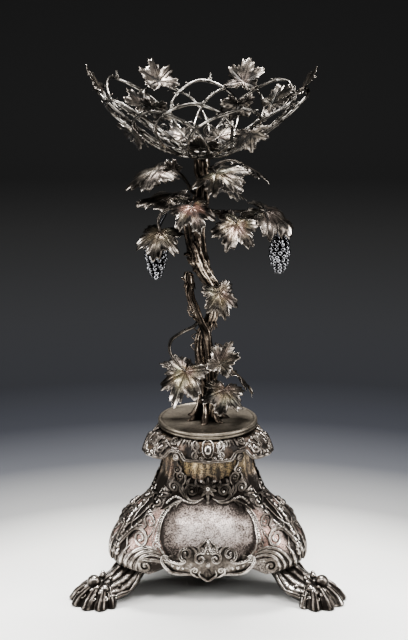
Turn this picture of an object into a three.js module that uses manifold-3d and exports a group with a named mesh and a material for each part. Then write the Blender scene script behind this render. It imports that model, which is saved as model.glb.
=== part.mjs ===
// A silver-plated vine centrepiece: a three-footed bombe base carries a collar and a
// round plate, a gnarled vine grows from the plate, and an openwork basket of woven
// twigs lifts off the top of the vine. Millimetres, +Z up, the front towards -Y. Every
// piece is made round the axis of the plate, and the last lines move them all so that
// the origin lies on the table under the middle of the whole outline.
import * as THREE from 'three';
import { mergeVertices } from 'three/addons/utils/BufferGeometryUtils.js';
import Module from 'manifold-3d';

const wasm = await Module();
wasm.setup();

// Driving dimensions
const gap = 0.3; // left where two pieces touch
const sliver = 0.04; // joins and cuts merge facets that differ by less than this
const panelAngles = [270, 30, 150]; // the middle of each base panel, in degrees
const footAngles = [210, 330, 90]; // the corners, each over a foot
const columns = 36; // facets round the base and the collar
const wall = 3.2; // cast wall, measured level
const neckTop = 166;
const rodRadius = 4;
const rodHole = rodRadius + gap;
const nutTop = 163;
const nutHeight = 9;
const rodBottom = 150;
const rodTop = 196;

// The base's outline from the neck down: [radius, height] over a panel and over a corner.
const panelProfile = [
  [rodHole, neckTop], [38, neckTop], [40, 162.5], [39.5, 150], [39.5, 138], [41, 127],
  [43.5, 117], [46.5, 106], [50, 96.5], [60.5, 85.5], [71, 76.5], [79, 64], [82.5, 52],
  [82, 42], [79.5, 34],
];
const cornerProfile = [
  [rodHole, neckTop], [42, neckTop], [46, 162.5], [49, 150], [51, 138], [52.5, 128],
  [57, 118], [64, 105], [72, 96], [83, 87], [94, 77], [105, 64], [110.5, 52], [112, 43],
  [110, 37],
];
// The scalloped lower edge: [degrees from the panel's middle, height].
const hem = [[0, 31], [15, 34], [22.5, 38], [30, 41], [37.5, 34], [45, 36], [52.5, 37], [60, 37]];
const cushion = { halfWidth: 47, middle: 76, halfHeight: 32, rise: 3.5 };
// Raised scrolls on the right half of a panel, in the front view's millimetres: the points
// that lead in, the spiral's middle, radius, start in degrees, turns and hand, then half the
// width and the height of the rib and the radius of the eye. The left half mirrors them.
const baseScrolls = [
  {
    lead: [[91, 45], [88.5, 58], [78, 73.5]], middle: [69.8, 69.6], radius: 8, start: 38,
    turns: 1.05, hand: 1, width: 2, height: 2.8, eye: 2.4,
  },
  {
    lead: [[45, 51], [55, 51.6]], middle: [64, 44.6], radius: 7.2, start: 115,
    turns: 0.95, hand: -1, width: 1.8, height: 2.8, eye: 2.4,
  },
];
const fieldStrip = { points: [[43, 92], [50, 83], [52.5, 72], [48.5, 60]], width: 2.6, height: 1.4 };
const crestScrolls = [
  {
    lead: [[8, 107.5], [18, 105.6]], middle: [16.1, 114.2], radius: 5.6, start: -25,
    turns: 0.9, hand: 1, width: 1.4, height: 1.9,
  },
  {
    lead: [[27, 111.5]], middle: [33.6, 115.6], radius: 5, start: 200,
    turns: 0.9, hand: -1, width: 1.4, height: 1.9,
  },
];
// The crest's palmette: petals round a seat at this height, at these degrees from level.
const palmette = {
  seat: 114.5, petals: [90, 45, 135, 5, 175, 270], from: 1.5, to: 9.5, width: 1.9, height: 2,
};
// Bosses down each corner: [height, radius].
const cornerBosses = [[112, 2.6], [104, 3], [96, 3.4], [86, 3.8], [75, 4.4]];
const volute = { angle: 35, height: 45, radius: 9.5, thickness: 7 };
const innerStations = [14, 13, 11, 10, 9, 8, 5, 2]; // the hollow needs fewer of them
const lug = { inner: 64, halfWidth: 14, bottom: 40, top: 46 };

// Feet, in a frame with x outwards from the axis.
const tongue = { inner: 73, outer: 98, halfWidth: 15, bottom: 33, top: lug.bottom - gap };
const screw = { at: 85, shank: 2.5, head: 4.6, headHeight: 3.2, seat: 30.5, top: lug.top + 2 };
// Sections of a foot: [distance out, ridge height, edge's upper and lower height, half width].
const footSections = [
  [80, 35.3, 34.6, 31, 17], [92, 35.3, 31.5, 21, 22], [99, 35, 23, 14.5, 25], [106, 34.4, 15, 10, 25.5],
  [111, 31.5, 13.5, 8, 26], [117, 27.5, 12.5, 5.5, 25], [124, 24.5, 10, 3, 22], [131, 20, 5, 0.5, 16],
];
const footBalls = [[137, 0, 21, 7.8], [127, 0, 26, 3.4], [131, 13, 16.5, 5.2], [131, -13, 16.5, 5.2]];
// The toes fan out like a scallop shell: the fan's middle lies this far out, it reaches so
// far to the front and to the sides, and each toe takes up some degrees of it.
const toes = { middle: 122, front: 41, aside: 26, pitch: 26, count: 7, dip: 0.14 };
// The fan's profile: [share of its reach, height in a valley, how far a toe stands above it].
const toeProfile = [[0, 20, 0], [0.35, 18.6, 0.8], [0.62, 13.6, 2.2], [0.85, 7, 2.6], [1, 1.4, 0.8]];

// Ornaments cast separately and pinned to the base.
const apron = {
  halfAngle: 27.5,
  proud: 3,
  top: [[0, 74], [3, 70], [6, 63], [9, 65], [13, 66], [16, 60], [20, 59], [24, 62], [27.5, 55]],
  bottom: [[0, 27], [5, 31], [9, 34], [13, 35], [19, 37], [24, 42], [27.5, 50]],
};
const crest = {
  halfAngle: 45,
  proud: 2,
  top: [[0, 129], [5, 126], [10, 121], [16, 124], [24, 127], [31, 128], [38, 118], [45, 105]],
  bottom: [[0, 103], [5, 106], [9, 110], [14, 109], [22, 106], [30, 101], [38, 97], [45, 94]],
};

// Collar round the neck: outline over a panel, over a corner, and at the notches between.
const collarTop = 169.7;
const collarBottom = 150.5;
const collarSeat = neckTop + gap;
const collarPanel = [
  [rodHole + 2, collarTop], [47, collarTop], [51, 168.5], [54.5, 162], [57, 156], [58.5, collarBottom],
  [56, collarBottom + 0.5], [53.5, 157], [50, 163], [44, collarSeat], [rodHole + 2, collarSeat],
];
const collarCorner = [
  [rodHole + 2, collarTop], [47, collarTop], [55, 168.5], [62, 165], [69, 158], [71.5, collarBottom],
  [68.5, collarBottom + 0.5], [65, 156.5], [57, 162.5], [47, collarSeat], [rodHole + 2, collarSeat],
];
const notch = { from: 28, to: 39, rise: 8.5 };

// Round plate with a two-bead rim.
const plateBottom = collarTop + gap;
const plateTop = 178.2;
const platePoints = [
  [rodHole, plateBottom], [44.5, plateBottom], [45.5, 171.6], [51.2, 172], [52.3, 173.4],
  [51.3, 175], [52.3, 176.8], [51, 178.6], [49.3, 178.9], [48, plateTop], [rodHole, plateTop],
];

// Vine trunk: [x, y, z, radius, root lobe height].
const vineBase = plateTop + gap;
const hubSeat = 456.5;
const vineTop = -6.2; // the vine leans, so the basket hangs this far beside the axis
const trunkPath = [
  [0, 0, vineBase, 16.5, 7.5], [-0.4, 0, 184, 12.5, 4.5], [-1, 0, 191, 9.8, 2.2], [-1.7, 0, 200, 8.2, 1],
  [-3.5, 0, 217, 7.2, 0.5], [-5.5, 1, 235, 6.6, 0.4], [-7, 3, 253, 6.2, 0.4], [-5.5, 3, 266, 6.4, 0.5],
  [-1, 1.5, 279, 6.6, 0.7], [4, -1, 290, 6, 0.5], [6.5, -2, 302, 5.8, 0.4], [6.5, 0, 313, 6.4, 0.5],
  [3, 0, 324, 7.6, 0.7], [-3, 0, 335, 8, 0.8], [-8, 0, 345, 8.6, 0.9], [-10, 0, 351, 9.4, 1],
  [-11.5, 0, 360, 8.8, 0.9], [-14, 1, 374, 9.2, 1], [-14, 2, 388, 9.2, 1], [-10, 3, 402, 8.6, 0.8],
  [-7, 3, 414, 7.4, 0.7], [-6, 3, 424, 6.8, 0.5], [-5, 2, 432, 6.6, 0.4], [vineTop, 0.5, 443, 7.4, 0.3],
  [vineTop, 0, 450, 7.6, 0.2], [vineTop, 0, hubSeat - gap, 8.4, 0],
];
const trunkSides = 14;
const rootCount = 7;
// Second stem, from the roots across the front of the trunk to a cut end.
const stemPath = [
  [5, -6, 182, 6], [6, -7, 200, 5.4], [5, -7.5, 222, 4.8], [3, -8, 246, 4.4], [0.5, -9, 262, 4.4],
  [-2.5, -9.6, 277, 4.8], [-8, -8.5, 287, 4.4], [-14, -7, 301, 4.4], [-18.5, -4, 314, 4.5],
  [-19, -1.5, 326, 4.6], [-20, 0, 333, 4.9], [-20.5, 0, 337, 3.6],
];
const stemSides = 9;
const spigotRadius = 4;
const socketRadius = spigotRadius + gap;
const spigotBottom = 444.5;
const socketBottom = 444;

// Vine leaf outline: [degrees from the tip, distance from the stalk], half of it.
const leafOutline = [
  [0, 1], [15, 0.84], [28, 0.68], [40, 0.84], [53, 0.94], [66, 0.78], [80, 0.62], [98, 0.74],
  [114, 0.74], [138, 0.54], [180, 0.16],
];
const leafThickness = 1.8;
const stalkRadius = 1.7;

// Every leaf of the vine: where its stalk meets the blade, its tip, the way its upper face
// looks, its width, its droop, and the stalk from the wood to the blade.
const vineLeaves = {
  lower_leaf_1: {
    base: [-23, -27, 238], tip: [-36, -43, 201], face: [-0.1, -0.8, 0.6], width: 0.72, droop: 0.55,
    stalk: [
      [-9, -8.5, 289], [-14, -14, 283], [-27, -17, 277], [-38, -20, 269], [-39, -23, 257], [-31, -26, 246],
    ],
  },
  lower_leaf_2: {
    base: [-27, 10, 231], tip: [-52, 16, 233], face: [-0.2, -0.6, 0.8], width: 0.8, droop: 0.4,
    stalk: [[-3, 1, 216], [-14, 6, 226]],
  },
  lower_leaf_3: {
    base: [17, -27, 218], tip: [11, -42, 193], face: [0.1, -0.8, 0.6], width: 1, droop: 0.5,
    stalk: [[5.5, -7.2, 208], [9, -16, 216]],
  },
  lower_leaf_4: {
    base: [13, -17, 243], tip: [25, -15, 269], face: [0.2, -1, 0.1], width: 0.75, droop: -0.25,
    stalk: [[5, -7.5, 222], [10, -15, 233]],
  },
  lower_leaf_5: {
    base: [27, 4, 228], tip: [47, 1, 199], face: [0.75, 0.1, 0.6], width: 0.6, droop: 0.35,
    stalk: [[-5, 1, 229], [12, 5, 231]],
  },
  middle_leaf: {
    base: [11, -15, 319], tip: [18, -22, 290], face: [0.1, -0.9, 0.35], width: 0.78, droop: 0.35,
    stalk: [[6.5, 0, 313], [8, -9, 319]],
  },
  upper_leaf_1: {
    base: [8, -20, 444], tip: [36, -46, 431], face: [-0.1, -0.45, 0.9], width: 0.9, droop: 0.35,
    stalk: [[-2, 1, 440], [3, -10, 446]],
  },
  upper_leaf_2: {
    base: [37, 10, 446], tip: [62, 4, 425], face: [0.5, 0.25, 0.86], width: 0.7, droop: 0.4,
    stalk: [[-1.5, 0.5, 442], [12, 9, 449], [24, 12, 451]],
  },
  upper_leaf_3: {
    base: [-51, 0, 443], tip: [-84, -3, 421], face: [-0.45, -0.35, 0.8], width: 0.75, droop: 0.4,
    stalk: [[-7, 3, 416], [-16, 2, 420], [-21, 1, 430], [-29, 0, 440], [-40, 0, 444]],
  },
  upper_leaf_4: {
    base: [-33, 4, 416], tip: [-73, -2, 403], face: [-0.2, -0.2, 0.93], width: 0.72, droop: 0.4,
    stalk: [[-9.5, 3, 405], [-20, 3, 413]],
  },
  upper_leaf_5: {
    base: [-48, -26, 385], tip: [-55, -45, 357], face: [-0.1, -0.7, 0.7], width: 0.85, droop: 0.7,
    stalk: [[-12.5, 2, 395], [-24, -9, 405], [-42, -16, 406], [-50, -21, 397]],
  },
  upper_leaf_6: {
    base: [-17, -31, 411], tip: [-7, -48, 387], face: [0, -0.75, 0.65], width: 0.95, droop: 0.5,
    stalk: [[-8, 3, 411], [-12, -17, 417]],
  },
  upper_leaf_7: {
    base: [29, -30, 395], tip: [18, -45, 367], face: [0.05, -0.85, 0.5], width: 0.9, droop: 0.4,
    stalk: [[-10, 3, 401], [10, -15, 400], [24, -25, 399]],
  },
  upper_leaf_8: {
    base: [57, -2, 402], tip: [85, -5, 373], face: [0.5, -0.45, 0.72], width: 0.9, droop: 0.6,
    stalk: [[-9, 3, 402], [14, 1, 400], [36, 0, 400.5]],
  },
  upper_leaf_9: {
    base: [16, 28, 421], tip: [31, 50, 399], face: [0.3, 0.3, 0.9], width: 0.85, droop: 0.45,
    stalk: [[-6, 3, 423], [8, 13, 424]],
  },
};
// Grape bunches: the top of each, its widest radius, its length and its stalk.
const bunches = {
  grape_bunch_1: {
    at: [-53, -12, 373], reach: 12, drop: 42, host: 'upper_leaf_5',
    stalk: [[-40, -15.5, 406.3], [-43, -9, 399], [-50, -10, 385]],
  },
  grape_bunch_2: {
    at: [74, 5, 372], reach: 11.5, drop: 40, host: 'upper_leaf_8',
    stalk: [[40.5, -0.8, 400.6], [49, 9, 395], [66, 10, 385]],
  },
};

// Basket: twelve arched twigs lie on a bowl that rises with the square of the radius.
const bowl = { floor: 459, rimRadius: 104, rimRise: 62.7 };
const bowlCurve = bowl.rimRise / bowl.rimRadius ** 2;
const twigRadius = 1.7;
const layer = twigRadius + gap / 2; // right legs run this far outside the bowl, left legs inside
const hub = { radius: 16, seat: 465 };
// [degrees, radius] of each arch at its peak, and how far aside its thorn stands, if it has one.
const arches = [
  [1, 106], [37, 107, 15], [64, 101], [88, 102.5, 3], [117, 101], [148, 110, 6],
  [180, 107], [211, 104, 3], [241, 99], [264, 107.5, 9], [290, 102.5], [328, 103, -3],
];
const thorn = { length: 9, lean: 3, taper: 1.1 };
// Steps of a leg from the peak towards the hub: [radius over the peak's, degrees aside].
const legPath = [
  [1, 0], [0.99, 5], [0.955, 11], [0.89, 18.5], [0.8, 25], [0.67, 30.5], [0.5, 36], [0.31, 42],
];
const legEnd = { radius: 14.5, aside: 48 };
// Leaves of the basket: the twig they are soldered to [arch, leg, step], the side of the bowl
// (1 is inside), the way the tip points from straight up the bowl, length, width, and how far
// from the bowl the blade starts and ends.
const basketLeaves = {
  rim_leaf_1: { on: [0, 1, 0], side: 1, turn: 0, length: 25, width: 0.95, away: [4.5, 8] },
  rim_leaf_2: { on: [2, 1, 0], side: 1, turn: 0, length: 31, width: 0.9, away: [4.5, 4.5] },
  rim_leaf_3: { on: [4, 1, 0], side: 1, turn: 0, length: 31, width: 0.9, away: [4.5, 4.5] },
  rim_leaf_4: { on: [6, 1, 0], side: 1, turn: 0, length: 25, width: 0.95, away: [4.5, 8] },
  rim_leaf_5: { on: [8, 1, 0], side: 1, turn: 180, length: 24, width: 0.95, away: [6, 6] },
  rim_leaf_6: { on: [10, 1, 0], side: 1, turn: 180, length: 26, width: 0.95, away: [6, 6] },
  basket_leaf_1: { on: [4, -1, 4], side: 1, turn: 12, length: 27, width: 1, away: [5, 6] },
  basket_leaf_2: { on: [0, -1, 4], side: 1, turn: -25, length: 29, width: 1, away: [5, 6] },
  basket_leaf_3: { on: [8, 1, 4], side: -1, turn: 165, length: 24, width: 1, away: [5, 11] },
  basket_leaf_4: { on: [11, 1, 4], side: -1, turn: 200, length: 26, width: 1, away: [5, 11] },
};
const spray = { angles: [128, 52, 268], from: 31, to: 57, above: 8 };
const sprayRing = { inner: 6, outer: 12, height: 2.9 };

const colours = {
  base: { color: 0x8d8880, roughness: 0.36, metalness: 0.95 },
  foot: { color: 0x87817a, roughness: 0.38, metalness: 0.95 },
  mount: { color: 0x7c766e, roughness: 0.4, metalness: 0.95 },
  plate: { color: 0x6f685b, roughness: 0.42, metalness: 0.9 },
  steel: { color: 0x8a8a88, roughness: 0.5, metalness: 0.9 },
  bark: { color: 0x5e564c, roughness: 0.46, metalness: 0.9 },
  leaf: { color: 0x85807a, roughness: 0.36, metalness: 0.92 },
  grape: { color: 0x6c6c70, roughness: 0.3, metalness: 0.92 },
  twig: { color: 0x8f8c88, roughness: 0.34, metalness: 0.95 },
};

// Small helpers
const radians = THREE.MathUtils.degToRad;
const smooth = (a, b, x) => THREE.MathUtils.smoothstep(x, a, b);
const point = ([x, y, z]) => new THREE.Vector3(x, y, z);
const around = (degrees, radius, z) => {
  const a = radians(degrees);
  return new THREE.Vector3(radius * Math.cos(a), radius * Math.sin(a), z);
};

function circle(radius, z, sides) {
  return Array.from({ length: sides }, (_, i) => around((360 * i) / sides, radius, z));
}

// The value at x of a line drawn through [x, y] pairs.
function along(table, x) {
  for (let i = 1; i < table.length; i++) {
    const [x0, y0] = table[i - 1];
    const [x1, y1] = table[i];
    if (x <= x1) {
      return y0 + ((y1 - y0) * Math.max(0, x - x0)) / (x1 - x0);
    }
  }
  return table[table.length - 1][1];
}

// A closed mesh from points and triangles, turned so that its faces point outwards.
function closed(points, triangles) {
  let volume = 0;
  for (const [a, b, c] of triangles) {
    volume += points[a].dot(new THREE.Vector3().crossVectors(points[b], points[c]));
  }
  const index = triangles.flatMap(([a, b, c]) => (volume > 0 ? [a, b, c] : [a, c, b]));
  const geometry = new THREE.BufferGeometry().setFromPoints(points);
  geometry.setIndex(index);
  return geometry;
}

// A skin over rings of points; the ends are closed by fans, or the last ring meets the first.
function loft(rings, joined = false) {
  const n = rings[0].length;
  const points = rings.flat();
  const triangles = [];
  const strips = joined ? rings.length : rings.length - 1;
  for (let i = 0; i < strips; i++) {
    const next = (i + 1) % rings.length;
    for (let j = 0; j < n; j++) {
      const k = (j + 1) % n;
      triangles.push([i * n + j, i * n + k, next * n + k]);
      triangles.push([i * n + j, next * n + k, next * n + j]);
    }
  }
  if (!joined) {
    const last = (rings.length - 1) * n;
    for (let j = 1; j < n - 1; j++) {
      triangles.push([0, j + 1, j]);
      triangles.push([last, last + j, last + j + 1]);
    }
  }
  return closed(points, triangles);
}

function toSolid(geometry) {
  const bare = new THREE.BufferGeometry();
  bare.setAttribute('position', geometry.getAttribute('position'));
  if (geometry.getIndex()) {
    bare.setIndex(geometry.getIndex());
  }
  const merged = mergeVertices(bare, 1e-4);
  return new wasm.Manifold(new wasm.Mesh({
    numProp: 3,
    vertProperties: new Float32Array(merged.getAttribute('position').array),
    triVerts: new Uint32Array(merged.getIndex().array),
  }));
}

function toGeometry(solid) {
  const mesh = solid.simplify(sliver).getMesh();
  const geometry = new THREE.BufferGeometry();
  geometry.setAttribute('position', new THREE.BufferAttribute(mesh.vertProperties, 3));
  geometry.setIndex(new THREE.BufferAttribute(mesh.triVerts, 1));
  return geometry;
}

function join(first, ...others) {
  return toGeometry(others.reduce((sum, other) => sum.add(toSolid(other)), toSolid(first)));
}

function cut(first, ...others) {
  return toGeometry(others.reduce((rest, other) => rest.subtract(toSolid(other)), toSolid(first)));
}

// A turned piece: [radius, height] points round the axis.
function turned(profile, sides) {
  const ring = (degrees) => profile.map(([r, z]) => around(degrees, r, z));
  const rings = Array.from({ length: sides }, (_, i) => ring((360 * i) / sides));
  return loft(rings, true);
}

function disc(radius, bottom, top, sides = 20) {
  return loft([circle(radius, bottom, sides), circle(radius, top, sides)]);
}

function box(low, high) {
  const size = high.map((v, i) => v - low[i]);
  const geometry = new THREE.BoxGeometry(...size);
  geometry.translate((low[0] + high[0]) / 2, (low[1] + high[1]) / 2, (low[2] + high[2]) / 2);
  return geometry;
}

// A round rod along a smooth path, with a radius at each part t of the way.
function rod(path, radiusAt, sides, steps) {
  const curve = new THREE.CatmullRomCurve3(path.map(point), false, 'catmullrom', 0.5);
  const frames = curve.computeFrenetFrames(steps, false);
  const rings = [];
  for (let i = 0; i <= steps; i++) {
    const middle = curve.getPointAt(i / steps);
    const radius = radiusAt(i / steps);
    rings.push(Array.from({ length: sides }, (_, j) => {
      const a = (2 * Math.PI * j) / sides;
      return middle.clone()
        .addScaledVector(frames.normals[i], radius * Math.cos(a))
        .addScaledVector(frames.binormals[i], radius * Math.sin(a));
    }));
  }
  return loft(rings);
}

const pieces = new THREE.Group();
pieces.name = 'vine_centrepiece';

function place(name, geometry, look) {
  const mesh = new THREE.Mesh(geometry, new THREE.MeshStandardMaterial({ ...colours[look] }));
  mesh.name = name;
  pieces.add(mesh);
  return mesh;
}

// Base shell
// Degrees from the middle of the nearest panel, 0 to 60.
function fromPanel(degrees) {
  const turn = (((degrees - panelAngles[0]) % 120) + 120) % 120;
  return Math.min(turn, 120 - turn);
}

// 0 over the middle of a panel and 1 over a corner.
const cornerShare = (degrees) => ((1 - Math.cos(radians(3 * fromPanel(degrees)))) / 2) ** 1.2;

function basePoint(degrees, station, outwards = 0) {
  const share = cornerShare(degrees);
  const [rp, zp] = panelProfile[station];
  const [rc, zc] = cornerProfile[station];
  const last = station === panelProfile.length - 1;
  const z = last ? along(hem, fromPanel(degrees)) : zp + (zc - zp) * share;
  let r = rp + (rc - rp) * share;
  const aside = r * Math.sin(radians(fromPanel(degrees)));
  const reach = (aside / cushion.halfWidth) ** 2 + ((z - cushion.middle) / cushion.halfHeight) ** 2;
  if (outwards >= 0) {
    r += cushion.rise * Math.sqrt(Math.max(0, 1 - reach));
  }
  return around(degrees, r + outwards, z);
}

const columnAngles = Array.from({ length: columns }, (_, i) => (360 * i) / columns - 90);

function baseShell() {
  const stations = panelProfile.length;
  const rings = columnAngles.map((degrees) => {
    const outer = [];
    const inner = [];
    for (let k = 0; k < stations; k++) {
      outer.push(basePoint(degrees, k));
    }
    for (const k of innerStations) {
      inner.push(basePoint(degrees, k, -wall));
    }
    inner[0].z = outer[stations - 1].z + 0.6;
    inner[inner.length - 1].z = neckTop - wall;
    inner.push(around(degrees, rodHole, neckTop - wall));
    return [...outer, ...inner];
  });
  return loft(rings, true);
}

// The base without its hollow, grown a little, to cut what is fixed on it.
function baseBlock(grown) {
  const rings = [];
  for (let k = 1; k < panelProfile.length; k++) {
    rings.push(columnAngles.map((degrees) => basePoint(degrees, k, grown)));
  }
  rings.push(rings[rings.length - 1].map((p) => new THREE.Vector3(p.x, p.y, 5)));
  return loft(rings);
}

// The point of the front panel that the front view shows at x and z, moved outwards.
function seenAt(x, z, out) {
  let p = surfaceAt(270, z, out);
  for (let i = 0; i < 8; i++) {
    const sine = THREE.MathUtils.clamp(x / Math.hypot(p.x, p.y), -0.97, 0.97);
    p = surfaceAt(270 + THREE.MathUtils.radToDeg(Math.asin(sine)), z, out);
  }
  return p;
}

// A rib of triangular section along [x, z] points of the front view. It starts and ends
// thin, and its foot sinks a little into what carries it.
function rib(points, { width, height }, lift, steps) {
  const line = new THREE.CatmullRomCurve3(points.map(([x, z]) => new THREE.Vector3(x, 0, z)));
  const spots = line.getPoints(steps);
  return loft(spots.map((spot, i) => {
    const size = 0.5 + 0.5 * Math.sin((Math.PI * (i + 1)) / (steps + 2)) ** 0.7;
    const before = spots[Math.max(i - 1, 0)];
    const after = spots[Math.min(i + 1, steps)];
    const foot = seenAt(spot.x, spot.z, lift - 0.7);
    const crown = seenAt(spot.x, spot.z, lift + height * size);
    const way = seenAt(after.x, after.z, lift).sub(seenAt(before.x, before.z, lift));
    const side = way.cross(crown.clone().sub(foot)).normalize().multiplyScalar(width * size);
    return [foot.clone().add(side), crown, foot.clone().sub(side)];
  }));
}

// A scroll and its mirror image: the rib winds in evenly, on some round an eye.
function scrollRibs(form, lift, steps) {
  const { lead, middle, radius, start, turns, hand, eye } = form;
  const wound = Array.from({ length: 6 }, (_, i) => {
    const a = radians(start + hand * turns * 72 * i);
    const reach = radius * (1 - 0.1 * i);
    return [middle[0] + reach * Math.cos(a), middle[1] + reach * Math.sin(a)];
  });
  const points = [...lead, ...wound];
  return [1, -1].flatMap((side) => {
    const made = [rib(points.map(([x, z]) => [side * x, z]), form, lift, steps)];
    if (eye) {
      const seat = seenAt(side * middle[0], middle[1], lift);
      made.push(new THREE.IcosahedronGeometry(eye, 0).translate(...seat.toArray()));
    }
    return made;
  });
}

// A scroll boss with two raised turns, its face to +x, then turned to its place.
function voluteBoss(degrees) {
  const r = volute.radius;
  const deep = volute.thickness;
  const profile = [[r * 0.9, -deep], [r, 0.6], [r * 0.76, 2.2], [r * 0.5, 1], [r * 0.3, 2.8]];
  const sides = 10;
  const rings = profile.map(([radius, out]) => Array.from({ length: sides }, (_, i) => {
    const a = (2 * Math.PI * i) / sides;
    return new THREE.Vector3(out, radius * Math.cos(a), radius * Math.sin(a));
  }));
  const boss = loft(rings);
  const panel = panelAngles.find((p) => Math.abs(((degrees - p + 540) % 360) - 180) < 60);
  boss.rotateZ(radians((degrees + panel) / 2));
  const station = panelProfile.length - 2;
  const seat = basePoint(degrees, station, 1.2);
  boss.translate(seat.x, seat.y, volute.height);
  return boss;
}

{
  // Each lug ends in the middle of the corner's wall.
  const corner = onColumn(footAngles[2], lug.top);
  const lugOuter = Math.hypot(corner.x, corner.y) - wall / 2;
  const lugs = footAngles.map((degrees) => {
    const lugBox = box([lug.inner, -lug.halfWidth, lug.bottom], [lugOuter, lug.halfWidth, lug.top]);
    return lugBox.rotateZ(radians(degrees));
  });
  const bosses = panelAngles.flatMap((p) => [p - volute.angle, p + volute.angle]).map(voluteBoss);
  const holes = footAngles.map((degrees) => {
    const hole = disc(screw.shank + gap, lug.bottom - 2, lug.top + 2, 12);
    return hole.translate(screw.at, 0, 0).rotateZ(radians(degrees));
  });
  const strips = [1, -1].map((side) => {
    return rib(fieldStrip.points.map(([x, z]) => [side * x, z]), fieldStrip, 0, 5);
  });
  const ribs = [...strips, ...baseScrolls.flatMap((form) => scrollRibs(form, 0, 11))];
  const relief = panelAngles.flatMap((degrees) => {
    return ribs.map((one) => one.clone().rotateZ(radians(degrees - 270)));
  });
  const knobs = footAngles.flatMap((degrees) => cornerBosses.map(([z, radius]) => {
    const knob = new THREE.IcosahedronGeometry(radius, 0);
    return knob.translate(...onColumn(degrees, z).toArray());
  }));
  const whole = join(baseShell(), ...lugs, ...bosses, ...relief, ...knobs);
  place('base_shell', cut(whole, ...holes), 'base');
}

// Feet
// The shell of toes: a profile from the fan's middle to its rim, repeated round the fan.
function toeFan() {
  const stepsPerToe = 4;
  const steps = toes.count * stepsPerToe;
  const rings = Array.from({ length: steps + 1 }, (_, i) => {
    const degrees = toes.pitch * (i / stepsPerToe - toes.count / 2);
    const crown = Math.abs(Math.cos(radians((180 * degrees) / toes.pitch)));
    const reach = toes.front - (toes.front - toes.aside) * (degrees / 90) ** 2;
    const rim = reach * (1 - toes.dip * (1 - crown));
    const upper = toeProfile.map(([share, valley, toe]) => around(degrees, rim * share, valley + toe * crown));
    return [...upper, around(degrees, rim - 0.8, 0), around(degrees, 0, 0)];
  });
  return loft(rings).translate(toes.middle, 0, 0);
}

// Each foot is a fluted bracket that ends in a shell of toes, with round berries on it.
function foot() {
  const across = [-1, -0.75, -0.5, -0.25, 0, 0.25, 0.5, 0.75, 1];
  const rings = footSections.map(([x, ridge, edge, bottom, half], i) => {
    const upper = across.map((s, j) => {
      const flute = j % 2 === 1 ? -1.2 : 0;
      const z = ridge - (ridge - edge) * Math.abs(s) ** 1.15;
      return new THREE.Vector3(x, half * s, z + (i > 1 && Math.abs(s) < 1 ? flute : 0));
    });
    const lower = [0.85, 0, -0.85].map((s) => new THREE.Vector3(x, half * s, bottom));
    return [...upper, ...lower];
  });
  const tongueLow = [tongue.inner, -tongue.halfWidth, tongue.bottom];
  const tongueBox = box(tongueLow, [tongue.outer, tongue.halfWidth, tongue.top]);
  const balls = footBalls.map(([x, y, z, r]) => {
    const ball = new THREE.IcosahedronGeometry(r, r > 6 ? 1 : 0);
    return ball.translate(x, y, z);
  });
  const hole = disc(screw.shank + gap, screw.seat - 10, screw.top + 2, 12).translate(screw.at, 0, 0);
  return cut(join(loft(rings), toeFan(), tongueBox, ...balls), hole);
}

// Pan-head screw from below the tongue up into the lug.
function legScrew() {
  const headTop = screw.seat - gap;
  const headBottom = headTop - screw.headHeight;
  const profile = [
    [screw.head - 0.8, headBottom], [screw.head, headBottom + 1], [screw.head, headTop],
    [screw.shank, headTop], [screw.shank, screw.top],
  ];
  return loft(profile.map(([r, z]) => circle(r, z, 12))).translate(screw.at, 0, 0);
}

{
  const footShape = foot();
  // The foot's lower face slopes, so the screw's head bears on a flat spot face.
  const spot = disc(screw.head + 0.8, screw.seat - 20, screw.seat, 12).translate(screw.at, 0, 0);
  const footWithSpot = cut(footShape, spot);
  footAngles.forEach((degrees, i) => {
    place(`foot_${i + 1}`, footWithSpot, 'foot').rotation.z = radians(degrees);
    place(`foot_screw_${i + 1}`, legScrew(), 'steel').rotation.z = radians(degrees);
  });
}

// Cast ornaments on the base
// A slab between a lower and an upper outline that follows the base, with radiating lobes
// and any ribs that are cast on its face.
function ornament(form, middle, lobes, ribs = []) {
  const wide = 12;
  const high = 3;
  const face = (isFront) => {
    const grid = [];
    for (let i = 0; i <= wide; i++) {
      const turn = form.halfAngle * ((2 * i) / wide - 1);
      const low = along(form.bottom, Math.abs(turn));
      const top = along(form.top, Math.abs(turn));
      const row = [];
      for (let j = 0; j <= high; j++) {
        const z = low + ((top - low) * j) / high;
        const t = j / high;
        const edge = Math.min(1, 4 * t * (1 - t)) * (1 - (Math.abs(turn) / form.halfAngle) ** 4);
        const lobe = 0.5 + 0.5 * Math.cos(radians((turn / form.halfAngle) * 180 * lobes));
        const relief = form.proud * (0.55 + edge * (0.5 + 0.7 * lobe));
        row.push(surfaceAt(270 + turn, z, isFront ? relief : -1.5));
      }
      grid.push(row);
    }
    return grid;
  };
  const front = face(true);
  const back = face(false);
  const rings = front.map((row, i) => [...row, ...[...back[i]].reverse()]);
  return cut(join(loft(rings), ...ribs), baseBlock(gap + 0.05)).rotateZ(radians(middle - 270));
}

// The base's outside at a height in one of its columns.
function onColumn(degrees, z) {
  const stations = panelProfile.map((_, k) => basePoint(degrees, k));
  const k = Math.max(2, stations.findIndex((p, i) => i > 1 && (z >= p.z || i === stations.length - 1)));
  const upper = stations[k - 1];
  const lower = stations[k];
  const share = THREE.MathUtils.clamp((z - lower.z) / (upper.z - lower.z), 0, 1);
  return lower.clone().lerp(upper, share).setZ(z);
}

// A point on the base's outside between two columns, moved outwards.
function surfaceAt(degrees, z, out) {
  const pitch = 360 / columns;
  const before = Math.floor((degrees + 90) / pitch) * pitch - 90;
  const share = (degrees - before) / pitch;
  const p = onColumn(before, z).lerp(onColumn(before + pitch, z), share);
  return p.add(around(degrees, out, 0));
}

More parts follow.
